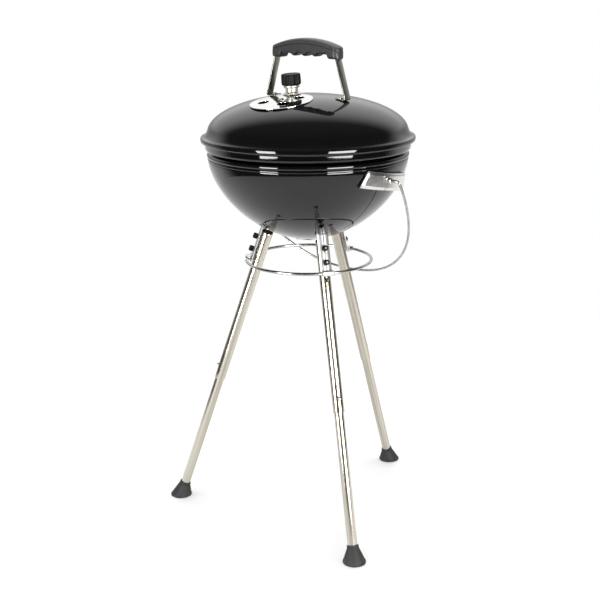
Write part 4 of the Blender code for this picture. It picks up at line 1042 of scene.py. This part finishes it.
@dataclass
class LidHandle(SubAssembly):
    """Moulded grip on two steel straps."""

    half: float = 0.0765
    depth: float = 0.026
    crown: float = 0.1739
    end_top: float = 0.1590
    block_bottom: float = 0.139
    block_inner: float = 0.056
    underside: float = 0.1465
    tooth: float = 0.0042
    teeth_pitch: float = 0.024
    roundness: float = 0.42
    strap_width: float = 0.0165
    strap_thick: float = 0.0018
    strap_top: tuple[float, float] = (0.0672, 0.1511)
    foot_x: float = 0.091
    tab_end: float = 0.0705
    tab_bend: float = 0.0868
    screw_head: float = 0.0042

    def build(self) -> None:
        """Build the grip, straps and screws."""
        self.build_grip()
        self.build_straps()

    def top(self, x: float) -> float:
        """Top of the grip above the seat: an arch."""
        return self.crown - (self.crown - self.end_top) * (abs(x) / self.half) ** 2

    def bottom(self, x: float) -> float:
        """Underside of the grip above the seat: finger teeth between two end blocks."""
        wave = self.tooth * (0.5 + 0.5 * cos(tau * x / self.teeth_pitch)) ** 1.7
        wave *= 1 - smooth_step(abs(x), 1.42 * self.teeth_pitch, 1.55 * self.teeth_pitch)
        edge = smooth_step(abs(x), self.block_inner - 0.0042, self.block_inner + 0.0006)
        return (self.underside - wave) * (1 - edge) + self.block_bottom * edge

    def deep(self, x: float) -> float:
        """Half depth of the grip, rounded off towards its ends."""
        corner = self.depth / 2 * 0.72
        inset = max(0.0, abs(x) - (self.half - corner)) / corner
        return self.depth / 2 - corner + corner * sqrt(max(0.0, 1 - inset ** 2)) * 0.985

    def grip_ring(self, x: float) -> list[Vector]:
        """Section of the grip with a moulded line along both sides.

        Args:
            x: Distance from the middle of the grip.

        Returns:
            The section's points, in the kettle frame.
        """
        low, high = self.shape.seat + self.bottom(x), self.shape.seat + self.top(x)
        middle, half = (low + high) / 2, (high - low) / 2
        lift = (abs(x) / self.half) ** 2
        crease_line = high - 0.0072 - 0.0030 * (1 - lift)
        power, limit = self.roundness, radians(87)

        def angle(z: float) -> float:
            """Angle of a height on the rounded section."""
            share = (z - middle) / half
            return asin(min(abs(share), 1.0) ** (1 / power)) * (1 if share > 0 else -1)

        groove = [(crease_line - 0.0008, 0.0), (crease_line - 0.0002, 0.0012), (crease_line + 0.0002, 0.0013), (crease_line + 0.0009, 0.0005)]
        start, end = angle(groove[0][0]), angle(groove[-1][0])
        below = [-limit + (start + limit) * k / 16 for k in range(16)]
        above = [end + (limit - end) * k / 12 for k in range(1, 13)]
        side = [(middle + half * abs(sin(a)) ** power * (1 if sin(a) > 0 else -1), 0.0) for a in below]
        side += groove + [(middle + half * sin(a) ** power, 0.0005) for a in above]
        face = [((self.deep(x) - inset) * abs(cos(angle(z))) ** power, z) for z, inset in side]
        return [Vector((x, reach, z)) for reach, z in face] + [Vector((x, -reach, z)) for reach, z in reversed(face)]

    def build_grip(self) -> None:
        """Loft the grip and mould the strap slots."""
        inside = [self.block_inner * k / 44 for k in range(-44, 45)]
        outside = [self.half - (self.half - self.block_inner) * (1 - sin(pi / 2 * k / 16)) for k in range(1, 17)]
        rings = [self.grip_ring(x) for x in [-x for x in reversed(outside)] + inside + outside]
        grip = Piece.lofted("lid_grip", rings)
        for side in (-1, 1):
            (x0, z0), (x1, z1) = [(side * x, z) for x, z in self.strap_line()[-2:]]
            longer = [(x0, z0), (x1 + (x1 - x0) * 0.006, z1 + (z1 - z0) * 0.006)]
            grip.cut(Piece.prism("slot", band(longer, self.strap_thick + 2 * GAP), self.strap_width / 2 + GAP))
        self.dress(grip.place(self.shape.place), "lid", Slot.GRIP, "handle_grip", smooth=42.0)

    def tab(self, x: float) -> float:
        """Middle height of the strap's tab over the dome."""
        return self.shape.dome(x) + 0.0005 + self.strap_thick / 2

    def strap_line(self) -> Outline:
        """Corners of a strap from its tab to its end inside the grip."""
        foot = self.tab(self.foot_x)
        return [(self.tab_end, self.tab(self.tab_end)), (self.tab_bend, self.tab(self.tab_bend)),
                (self.foot_x, foot + 0.0025), (self.foot_x - 0.0008, foot + 0.0055),
                (self.strap_top[0], self.shape.seat + self.strap_top[1])]

    def build_straps(self) -> None:
        """Bend both straps, drill their tabs and set the screws."""
        slope, head = self.shape.dome_slope(self.shape.screw_x), self.screw_head
        line: Outline = [(0.0, 0.0023)] + bow((0.0, 0.0003), (head, 0.0020), 78, 8, 7)
        line += [(head, 0.0), (SHANK, 0.0), (SHANK, -0.0080), (SHANK - 0.0004, -0.0085), (0.0, -0.0085)]
        for name, side in (("left", -1), ("right", 1)):
            bent = [(side * x, z) for x, z in rounded(self.strap_line(), 0.0035)]
            strap = Piece.prism(f"strap_{name}", band(bent, self.strap_thick), self.strap_width / 2)
            middle, along = self.shape.tab_screw(side, self.tab(self.shape.screw_x))
            strap.cut(Piece.rod("hole", middle - along * 0.02, middle + along * 0.01, SHANK_HOLE))
            strap.ease(FINE_ROUND).place(self.shape.place)
            lean = Matrix.Rotation(-side * atan2(self.foot_x - self.strap_top[0], 0.07), 4, "Y")
            finish = self.paint.get(Slot.STRAP, lean, name)
            strap.fit("lid", Slot.STRAP, finish, f"handle_strap_{name}")
            seat = middle + along * (self.strap_thick / 2 + GAP)
            screw = Piece.turned(f"tab_screw_{name}", line, 32)
            for turn in (0.0, pi / 2):
                slot = Piece.start("slot", "cube", size=1.0).place(
                    Matrix.Translation((0, 0, 0.0021)) @ Matrix.Rotation(turn, 4, "Z")
                    @ Matrix.Diagonal((0.0046, 0.0009, 0.0016, 1.0)))
                screw.cut(slot)
            screw.place(self.shape.place @ Matrix.Translation(seat) @ Matrix.Rotation(side * slope, 4, "Y"))
            self.dress(screw, "lid", Slot.CHROME, f"strap_screw_{name}")


@dataclass
class BailHandle(SubAssembly):
    """Wire bail that swings in two folded plates on the bowl."""

    pivot: float = 0.659
    half: float = 0.2035
    depth: float = 0.242
    power: float = 2.22
    wire: float = 0.00225
    bend: float = 0.006
    pin_end: float = 0.1785
    rest: float = radians(30.3)
    plate_radii: tuple[float, float] = (0.1807, 0.1863)
    plate_height: float = 0.032
    plate_halves: tuple[float, float] = (0.067, 0.057)
    plate_tilt: float = radians(9)
    plate_sheet: float = 0.0015
    plate_bow: float = 0.0009
    plate_hem: float = 0.0009
    plate_drop: float = 0.002
    ferrule: tuple[float, float] = (0.0048, 0.0042)

    def build(self) -> None:
        """Build the bail, plates and ferrules."""
        hang = self.shape.place @ Matrix.Translation((0, 0, self.pivot)) @ Matrix.Rotation(self.rest, 4, "X")
        bail = Piece.wire("bail", self.path(), self.wire, 18).place(hang)
        bail.fit("bail", Slot.CHROME, self.paint.get(Slot.DRAWN), "bail_wire", smooth=60.0)
        for name, turn in (("left", pi), ("right", 0.0)):
            self.build_plate(name, turn)

    def path(self) -> list[Vector]:
        """Middle line of the wire, hanging along -Z from its two pins."""
        start = asin((self.bend / self.depth) ** (self.power / 2))
        line = [Vector((self.pin_end, 0, 0)), Vector((self.pin_end + 0.008, 0, 0)),
                Vector((self.half - self.bend, 0, 0))]
        for index in range(1, 7):
            a = pi / 2 * index / 7
            line.append(Vector((self.half - self.bend + self.bend * sin(a), 0, -self.bend + self.bend * cos(a))))
        steps = 46
        for index in range(steps + 1):
            out, down = oval(start + (pi / 2 - start) * index / steps, (self.power,) * 2)
            line.append(Vector((self.half * out, 0, -self.depth * down)))
        line[-1].x = 0.0
        return line + [Vector((-point.x, 0, point.z)) for point in reversed(line[:-1])]

    def plate_radius(self, v: float) -> float:
        """Distance of a plate's face from the kettle axis, v from -1 at its foot to 1 at its top."""
        return self.plate_radii[0] + (self.plate_radii[1] - self.plate_radii[0]) * (v + 1) / 2

    def face(self, u: float, v: float, inset: float) -> Vector:
        """Point of a plate: u across and v up, both -1 to 1; inset goes inwards from its face."""
        low, high = self.plate_halves
        across = u * (low + (high - low) * (v + 1) / 2)
        up = v * self.plate_height / 2
        along = across * cos(self.plate_tilt) + up * sin(self.plate_tilt)
        rise = up * cos(self.plate_tilt) - across * sin(self.plate_tilt) + self.plate_bow * (2 * u * u - 1)
        radius = self.plate_radius(v) - inset
        turn = along / self.plate_radii[1]
        return Vector((radius * cos(turn), radius * sin(turn), self.pivot - self.plate_drop + rise))

    def plate_point(self, u: float, v: float) -> Vector:
        """Point of the folded plate at grid place (u, v), both 0 to 1."""
        margin = 0.06
        cu, cv = (u - 0.5) / (0.5 - margin), (v - 0.5) / (0.5 - margin)
        over = max(abs(cu), abs(cv)) > 1.0001
        cu, cv = min(max(cu, -1.0), 1.0), min(max(cv, -1.0), 1.0)
        border = min((1 - abs(cu)) * 0.062, (1 - abs(cv)) * 0.016)
        point = self.face(cu, cv, self.plate_hem * (1 - smooth_step(border, 0.0030, 0.0046)))
        if over:
            deep = self.face(cu, cv, 0.002)
            wall = self.shape.bowl_wall(deep.z) + self.plate_sheet * 0.55
            flat = hypot(deep.x, deep.y)
            point = Vector((deep.x * wall / flat, deep.y * wall / flat, deep.z))
        return point

    def build_plate(self, name: str, turn: float) -> None:
        """Fold one plate, drill it and set its ferrule."""
        mirror = -1.0 if turn else 1.0
        plate = Piece.sheet(f"bail_plate_{name}", 50, 25, self.plate_point)
        plate.thing.data.transform(Matrix.Diagonal((1, mirror, 1, 1)))
        plate.clean()
        plate.apply("SOLIDIFY", thickness=self.plate_sheet, offset=-1.0, use_even_offset=True)
        face = self.plate_radius(self.plate_drop / (self.plate_height / 2))
        plate.cut(Piece.rod("hole", Vector((face - 0.012, 0, self.pivot)), Vector((face + 0.01, 0, self.pivot)),
                            self.wire + 0.0005))
        frame_here = self.shape.place @ Matrix.Rotation(turn, 4, "Z")
        plate.place(frame_here)
        plate.fit("kettle", Slot.BRACKET, self.paint.get(Slot.BRACKET, frame_here, f"plate_{name}"),
                  f"bail_bracket_{name}", smooth=30.0)
        radius, length = self.ferrule
        slope = (self.plate_radii[1] - self.plate_radii[0]) / self.plate_height
        inner = self.wire + 0.0004
        line: Outline = [(inner, 0.0), (radius - 0.0003, 0.0), (radius, 0.0004), (radius, length * 0.30),
                         (radius * 0.94, length * 0.36), (radius * 0.94, length * 0.42), (radius, length * 0.48),
                         (radius, length * 0.72), (radius * 0.93, length * 0.92), (radius * 0.84, length),
                         (inner + 0.0002, length), (inner, length - 0.0002)]
        collar = Piece.turned(f"bail_collar_{name}", line, 40)
        collar.place(frame_here @ Matrix.Translation((face + GAP + radius * slope, 0, self.pivot))
                     @ Matrix.Rotation(pi / 2, 4, "Y"))
        self.dress(collar, "kettle", Slot.CHROME, f"bail_ferrule_{name}")


@dataclass
class Legs(SubAssembly):
    """Three telescopic legs, modelled once in the leg's frame (Z up the leg, X outboard) and copied."""

    splay: float = radians(18.87)
    circle: float = 0.2622
    azimuths: dict[str, float] = field(default_factory=lambda: {
        "front_left": radians(-146.94), "front_right": radians(-33.06), "rear": radians(90)})
    upper: tuple[float, float, float] = (0.0103, 0.265, 0.572)
    lower: tuple[float, float, float] = (0.0088, 0.007, 0.310)
    wall: float = 0.001
    button: float = 0.290
    travel: float = 0.212
    button_radius: float = 0.0036
    button_hole: float = 0.0040
    standout: float = 0.0037
    bolts: dict[str, float] = field(default_factory=lambda: {"upper": 0.5585, "lower": 0.533})
    strip: tuple[float, float, float, float] = (0.0137, 0.0018, 0.5105, 0.600)
    strip_half: float = 0.0105
    strip_curve: float = 0.0165
    strip_groove: float = 0.0009
    boss: float = 0.0040
    bolt_head: float = 0.0038
    nut: tuple[float, float] = (0.0056, 0.0080)
    nut_lobes: int = 8
    nut_lobe: float = 0.0009
    plug_head: float = 0.0042
    foot_radius: float = 0.0207
    foot_edge: float = 0.0035
    foot_top: float = 0.030
    foot_collar: float = 0.0107

    @property
    def strip_outer(self) -> float:
        """Distance of a strip's outer face from the leg's middle line."""
        return self.strip[0] + self.strip[1]

    def stand(self, azimuth: float) -> Matrix:
        """Frame of a leg's foot on the ground, X outboard."""
        return self.shape.place @ Matrix.Translation(polar(self.circle, azimuth)) @ Matrix.Rotation(azimuth, 4, "Z")

    def place(self, azimuth: float) -> Matrix:
        """Frame of a leg, Z up the tube."""
        return self.stand(azimuth) @ Matrix.Rotation(-self.splay, 4, "Y")

    def across(self, station: float, radius: float, start: float, end: float) -> Piece:
        """Round bar across the leg, pointing outboard."""
        return Piece.rod("hole", Vector((start, 0, station)), Vector((end, 0, station)), radius, 28)

    def tube(self, name: str, radius: float, low: float, high: float, stops: Sequence[float]) -> Piece:
        """Tube with softened ends and extra rings round the stations where it is drilled."""
        inner = radius - self.wall
        stations = sorted({low + 0.0006, high - 0.0006}
                          | {stop + shift for stop in stops for shift in (-0.006, 0.006)
                             if low + 0.001 < stop + shift < high - 0.001})
        line: Outline = [(inner + 0.0003, high), (inner, high - 0.0003)]
        line += [(inner, station) for station in reversed(stations)]
        line += [(inner, low + 0.0003), (inner + 0.0003, low), (radius - 0.0003, low), (radius - 0.0001, low + 0.0002)]
        line += [(radius, station) for station in stations] + [(radius - 0.0001, high - 0.0002),
                                                               (radius - 0.0003, high)]
        return Piece.turned(name, line, 40)

    def model_upper(self) -> Piece:
        """Upper tube, drilled for the lock button and the bolts."""
        radius, low, high = self.upper
        locks = (self.button, self.button + self.travel)
        tube = self.tube("upper", radius, low, high, (*locks, *self.bolts.values()))
        for station in locks:
            tube.cut(self.across(station, self.button_hole, 0.0, 0.02))
        for station in self.bolts.values():
            tube.cut(self.across(station, SHANK_HOLE, 0.0, 0.02))
        return tube

    def model_lower(self) -> Piece:
        """Lower tube with its button hole."""
        radius, low, high = self.lower
        tube = self.tube("lower", radius, low, high, (self.button,))
        return tube.cut(self.across(self.button, self.button_hole, 0.0, 0.02))

    def model_clip(self) -> Piece:
        """V spring with its domed lock button."""
        inner = self.lower[0] - self.wall
        arm, far = inner * 0.68, -inner * 0.83
        line = rounded([(arm, 0.006), (arm * 0.65, -0.028), (arm * 0.25, -0.034), (far * 0.25, -0.034),
                        (far * 0.6, -0.028), (far, 0.005)], 0.003)
        spring = Piece.prism("clip", band(line, 0.0006), 0.003)
        tip, radius = self.upper[0] + self.standout, self.button_radius
        dome: Outline = [(0.0, tip)] + bow((0.0, tip - 0.0020), (radius, 0.0020), 80, 5, 8)
        button = Piece.turned("button", dome + [(radius, arm), (0.0, arm)], 32)
        button.place(Matrix.Rotation(pi / 2, 4, "Y"))
        return spring.gather(button).place(Matrix.Translation((0, 0, self.button)))

    def model_foot(self) -> Piece:
        """Rubber foot in the ground frame: flat base, waisted cone and a collar square to the leg."""
        tilt = Matrix.Rotation(-self.splay, 3, "Y")
        steps = 56
        angles = [tau * k / steps for k in range(steps)]

        def flat(radius: float, z: float) -> list[Vector]:
            """Ring that lies level."""
            return [polar(radius, a, z) for a in angles]

        def square(radius: float, station: float) -> list[Vector]:
            """Ring square to the leg."""
            return [tilt @ polar(radius, a, station) for a in angles]

        base, edge, collar, top = self.foot_radius, self.foot_edge, self.foot_collar, self.foot_top
        bore, shoulder = self.lower[0] + GAP, top - 0.006
        rings = [flat(radius, z) for radius, z in (
            (base * 0.55, 0.0006), (base * 0.62, 0.0), (base - 0.0012, 0.0), (base - 0.0003, 0.0004),
            (base, 0.0012), (base, edge - 0.0006), (base - 0.0004, edge))]
        low, high = flat(base - 0.0012, edge + 0.0004), square(collar + 0.0006, shoulder)
        for share in (0.0, 0.08, 0.2, 0.35, 0.5, 0.65, 0.8, 0.92, 1.0):
            waist = 1 + 0.015 * sin(pi * share)
            centre = (tilt @ Vector((0, 0, shoulder))) * share
            spokes = [under.lerp(over, share) - centre for under, over in zip(low, high)]
            rings.append([centre + Vector((spoke.x * waist, spoke.y * waist, spoke.z)) for spoke in spokes])
        rings += [square(radius, station) for radius, station in (
            (collar + 0.0004, shoulder + 0.0005), (collar, shoulder + 0.0008), (collar, top - 0.0005),
            (collar - 0.0004, top), (self.lower[0] + 0.0006, top), (bore, top - 0.0004),
            (bore, self.lower[1] - GAP))]
        return Piece.lofted("foot", rings)

    def model_bracket(self) -> Piece:
        """Strip with its two spacer bosses, trimmed to the bowl."""
        inner, thick, low, high = self.strip
        bend, crest, notch = self.strip_curve, self.strip_outer, self.strip_groove
        swing = degrees(asin(self.strip_half / bend))
        middle = (crest - bend, 0.0)
        section = bow(middle, (bend, bend), -swing, -4.0, 8)
        section += [(crest - 0.00002, -0.0007), (crest - notch, -0.0002), (crest - notch, 0.0002),
                    (crest - 0.00002, 0.0007)]
        section += bow(middle, (bend, bend), 4.0, swing, 8)
        section += bow(middle, (bend - thick, bend - thick), swing, -swing, 12)
        stations = [low + (high - low) * share for share in (0.0, 0.2, 0.4, 0.6, 0.8, 1.0)]
        bar = Piece.lofted("bracket", [[Vector((x, y, z)) for x, y in section] for z in stations])
        for station in self.bolts.values():
            bar.weld(self.across(station, self.boss, self.upper[0] + GAP, inner + thick / 2))
        for station in self.bolts.values():
            bar.cut(self.across(station, SHANK_HOLE, 0.0, 0.03))
        solid = self.shape.bowl_solid()
        solid.place(self.place(self.azimuths["rear"]).inverted() @ self.shape.place)
        return bar.cut(solid).ease(FINE_ROUND)

    def model_bolt(self) -> Piece:
        """Bolt with its head inside the tube and its tip at the nut's face."""
        inner, head = self.upper[0] - self.wall, self.bolt_head
        seat = sqrt(inner ** 2 - head ** 2) - GAP
        end = self.strip_outer + GAP + self.nut[1]
        line: Outline = [(0.0, seat - 0.0034), (head - 0.0006, seat - 0.0034), (head, seat - 0.0028), (head, seat),
                         (SHANK, seat), (SHANK, end - 0.0004), (SHANK - 0.0004, end + 0.0003), (0.0, end + 0.0005)]
        return Piece.turned("bolt", line, 24).place(Matrix.Rotation(pi / 2, 4, "Y"))

    def model_nut(self) -> Piece:
        """Lobed cap nut with its bore."""
        radius, length = self.nut
        start, bore = self.strip_outer + GAP, SHANK + GAP
        points = 64
        rings: list[list[Vector]] = []
        profile = ((0.0, 0.90, 0.0), (0.0004, 0.96, 0.2), (0.0010, 1.0, 1.0), (length - 0.0018, 1.0, 1.0),
                   (length - 0.0007, 0.93, 0.7), (length - 0.0001, 0.82, 0.2), (length, 0.74, 0.0),
                   (length, 0.0, 0.0), (0.0, 0.0, 0.0), (0.0, 0.90, 0.0))
        for along, size, depth in profile:
            ring = []
            for k in range(points):
                a = tau * k / points
                lobe = self.nut_lobe * depth * (0.5 - 0.5 * cos(self.nut_lobes * a))
                reach = (radius - lobe) * size if size else bore
                ring.append(Vector((start + along, reach * cos(a), reach * sin(a))))
            rings.append(ring)
        return Piece.lofted("nut", rings, capped=False)

    def model_plug(self) -> Piece:
        """Domed plug that closes the top of the tube."""
        radius = self.upper[0]
        inner, seat = radius - self.wall - GAP, self.upper[2] + GAP
        line: Outline = [(0.0, seat + self.plug_head)]
        line += bow((radius - 0.0022, seat + self.plug_head - 0.0022), (0.0022, 0.0022), 88, 4, 7)
        line += [(radius, seat + 0.0003), (radius - 0.0003, seat), (inner, seat), (inner, seat - 0.008),
                 (inner - 0.0006, seat - 0.0085), (0.0, seat - 0.0085)]
        return Piece.turned("plug", line, 40)

    def build(self) -> None:
        """Model each part once and set a copy on every leg."""
        models = {"upper": self.model_upper(), "lower": self.model_lower(), "clip": self.model_clip(),
                  "foot": self.model_foot(), "bracket": self.model_bracket(), "bolt": self.model_bolt(),
                  "nut": self.model_nut(), "plug": self.model_plug()}
        for name, azimuth in self.azimuths.items():
            leg, stand = self.place(azimuth), self.stand(azimuth)
            steel = self.paint.get(Slot.TUBE, leg, name)
            # In this frame the strip finish's painted crease shade line lies along Y = 0, down the middle of each
            # strip.
            sheet = self.paint.get(Slot.STRIP, leg @ Matrix.Rotation(pi / 2, 4, "Y"), name)
            tasks = [("upper", f"leg_tube_{name}", leg, "kettle", Slot.TUBE, steel, f"upper_leg_{name}"),
                     ("lower", f"leg_slide_{name}", leg, f"lower_leg_{name}", Slot.TUBE, steel, f"lower_leg_{name}"),
                     ("foot", f"leg_foot_{name}", stand, f"lower_leg_{name}", Slot.RUBBER,
                      self.paint.get(Slot.RUBBER, stand, name), f"foot_{name}"),
                     ("clip", f"lock_spring_{name}", leg, f"snap_clip_{name}", Slot.SPRING,
                      self.paint.get(Slot.SPRING), f"snap_clip_{name}"),
                     ("bracket", f"leg_strip_{name}", leg, "kettle", Slot.BRACKET, sheet, f"leg_bracket_{name}"),
                     ("plug", f"tube_plug_{name}", leg, "kettle", Slot.NUT, self.paint.get(Slot.NUT),
                      f"leg_plug_{name}")]
            for key, station in self.bolts.items():
                spot = leg @ Matrix.Translation((0, 0, station))
                tasks.append(("bolt", f"mount_bolt_{key}_{name}", spot, "kettle", Slot.CHROME,
                              self.paint.get(Slot.BOLT), f"leg_bolt_{key}_{name}"))
                tasks.append(("nut", f"mount_nut_{key}_{name}", spot, "kettle", Slot.NUT,
                              self.paint.get(Slot.NUT), f"leg_nut_{key}_{name}"))
            for model, title, spot, body, slot, finish, node in tasks:
                models[model].copy(title).place(spot).fit(body, slot, finish, node)
        for model in models.values():
            model.drop()


@dataclass
class LegRing(SubAssembly):
    """Wire ring round the leg strips, with a clip on each strip."""

    legs: Legs
    height: float = 0.4924
    radius: float = 0.1164
    wire: float = 0.0028
    clip_wall: float = 0.0014
    clip_half: float = 0.011

    def build(self) -> None:
        """Build the ring and its clips."""
        ring = Piece.turned("base_ring", circle((self.radius, self.height), self.wire), SHELL_STEPS)
        ring.place(self.shape.place)
        ring.fit("kettle", Slot.CHROME, self.paint.get(Slot.DRAWN), "leg_ring", smooth=60.0)
        half = self.wire + GAP + self.clip_wall
        turn = asin(self.clip_half / self.radius)
        outer = self.radius + half
        low, high, corner = self.height - half, self.height + half, half * 0.55
        bulge = (bow((outer - corner, self.height - half * 0.45), (corner, corner), 270, 360, 5)
                 + bow((outer - corner, self.height + half * 0.45), (corner, corner), 0, 90, 5))
        rings = []
        for step in range(9):
            a = -turn + 2 * turn * step / 8
            foot, top = [Vector((face, face / cos(a) * sin(a), z)) for face, z in (
                (self.strip_face(low) + GAP, low), (self.strip_face(high) + GAP, high))]
            rings.append([foot] + [polar(r, a, z) for r, z in bulge] + [top])
        model = Piece.lofted("clip", rings).ease(0.0005)
        model.cut(Piece.turned("groove", circle((self.radius, self.height), self.wire + GAP), SHELL_STEPS))
        for name, azimuth in self.legs.azimuths.items():
            clip = model.copy(f"base_clip_{name}").place(self.shape.place @ Matrix.Rotation(azimuth, 4, "Z"))
            self.dress(clip, "kettle", Slot.BRACKET, f"ring_clip_{name}")
        model.drop()

    def strip_face(self, z: float) -> float:
        """Distance of a strip's outer face from the kettle axis at a height."""
        face, splay = self.legs.strip_outer, self.legs.splay
        return self.legs.circle + face * cos(splay) - (z - face * sin(splay)) * tan(splay)


@dataclass
class Studio:
    """Pale floor, soft lights and the camera."""

    shape: KettleShape
    camera_spot: tuple[float, float, float] = (1.3376, -1.5907, 0.9987)
    lens: float = 68.65
    heading: float = radians(40.06)
    pitch: float = radians(15.75)
    yaw: float = radians(-0.48)
    roll: float = radians(-0.6)
    floor_radius: float = 1.45
    open_side: float = radians(-50)
    box_distance: float = 1.5
    box_height: float = 0.57
    boxes: tuple[tuple[str, float, float, float], ...] = (("softbox_left", -42.0, 0.52, 24.5),
                                                          ("softbox_right", 34.0, 0.74, 34.5))

    def build(self) -> None:
        """Set up the whole studio."""
        self.build_floor()
        self.build_world()
        self.build_lights()
        self.build_camera()

    def build_floor(self) -> None:
        """Round pale floor with a ring of faces inset at its edge."""
        floor = Piece.start("floor", "circle", vertices=96, radius=self.floor_radius, fill_type="NGON")
        with floor.editing():
            bpy.ops.mesh.inset(thickness=0.2)
        material, graph = new_graph("floor_paint")
        grain = graph.noise(graph.coords(Matrix()), 40.0, 3.0, 0.6)
        graph.surface({"Base Color": graph.mix(grain, (0.90, 0.90, 0.90), (0.88, 0.88, 0.88)), "Roughness": 0.9,
                       "Specular IOR Level": 0.0})
        floor.thing.data.materials.append(material)

    def build_world(self) -> None:
        """Bright backdrop behind the grill that fades to a dim room overhead and on the open side."""
        world = bpy.data.worlds.new("studio")
        bpy.context.scene.world = world
        world.use_nodes = True
        graph = Graph(world.node_tree)
        direction = graph.value(graph.node("ShaderNodeTexCoord"), "Generated")
        toward = (cos(self.open_side), sin(self.open_side), 0.2)
        away = 0.0 - graph.along(direction, toward)
        level = graph.absolute(graph.along(direction, (0.0, 0.0, 1.0)))
        glow = 0.07 + graph.ramp(away, 0.10, 0.62) * (0.42 + graph.ramp(level, 0.02, 0.30) * 0.66)
        seen = graph.value(graph.node("ShaderNodeLightPath"), "Is Camera Ray")
        strength = glow * (1 - seen) + seen
        back = graph.node("ShaderNodeBackground", None, {"Color": (1.0, 1.0, 1.0, 1.0), "Strength": strength})
        graph.node("ShaderNodeOutputWorld", None, {"Surface": graph.value(back)})

    def light(self, name: str, spot: Vector, aim: Vector, size: tuple[float, float], power: float) -> bpy.types.Object:
        """Add a rectangular soft light.

        Args:
            name: Its name.
            spot: Its place.
            aim: What it points at.
            size: Width and height.
            power: Watts.

        Returns:
            The light object.
        """
        bpy.ops.object.light_add(type="AREA", location=spot)
        lamp = bpy.context.active_object
        lamp.name = name
        lamp.rotation_euler = (spot - aim).to_track_quat("Z", "Y").to_euler()
        lamp.data.shape = "RECTANGLE"
        lamp.data.size, lamp.data.size_y = size
        lamp.data.energy = power
        lamp.visible_camera = False
        return lamp

    def build_lights(self) -> None:
        """Two upright softboxes for the gloss and a large overhead light for the matt surfaces."""
        for name, swing, width, power in self.boxes:
            heading = self.open_side + radians(swing)
            aim = Vector((0, self.shape.axis_y, self.box_height))
            lamp = self.light(name, aim + polar(self.box_distance, heading), aim, (width, 0.82), power)
            lamp.visible_diffuse = False
        top = self.light("overhead", Vector((0, 0, 3.2)), Vector((0, 0, 0)), (4.0, 4.0), 175.0)
        top.visible_glossy = False

    def build_camera(self) -> None:
        """Set the camera with its exact turn."""
        cp, sp = cos(self.pitch), sin(self.pitch)
        ahead = Vector((sin(self.yaw) * cp, cos(self.yaw) * cp, -sp))
        right = Vector((cos(self.yaw), -sin(self.yaw), 0))
        up = right.cross(ahead)
        tilted = right * cos(self.roll) + up * sin(self.roll)
        upright = up * cos(self.roll) - right * sin(self.roll)
        turn = Matrix.Rotation(self.heading, 3, "Z")
        axes = Matrix((turn @ tilted, turn @ upright, turn @ -ahead)).transposed()
        bpy.ops.object.camera_add(location=(0, 0, 0))
        camera = bpy.context.active_object
        camera.matrix_world = Matrix.Translation(self.shape.place @ Vector(self.camera_spot)) @ axes.to_4x4()
        camera.data.lens = self.lens
        camera.data.sensor_width = 36.0
        camera.data.clip_start = 0.01
        bpy.context.scene.camera = camera
        bpy.context.scene.view_settings.view_transform = "Standard"


def main() -> None:
    """Build the grill and its studio."""
    logging.basicConfig(level=logging.INFO, format="%(name)s %(message)s")
    shape = KettleShape()
    paint = Paintshop()
    damper = LidDamper(shape, paint)
    legs = Legs(shape, paint)
    for group in (KettleBowl(shape, paint), Grates(shape, paint), KettleLid(shape, paint, damper), damper,
                  LidHandle(shape, paint), BailHandle(shape, paint), legs, LegRing(shape, paint, legs),
                  Studio(shape)):
        group.build()
        LOG.info("%s done", type(group).__name__)


if __name__ == "__main__":
    main()
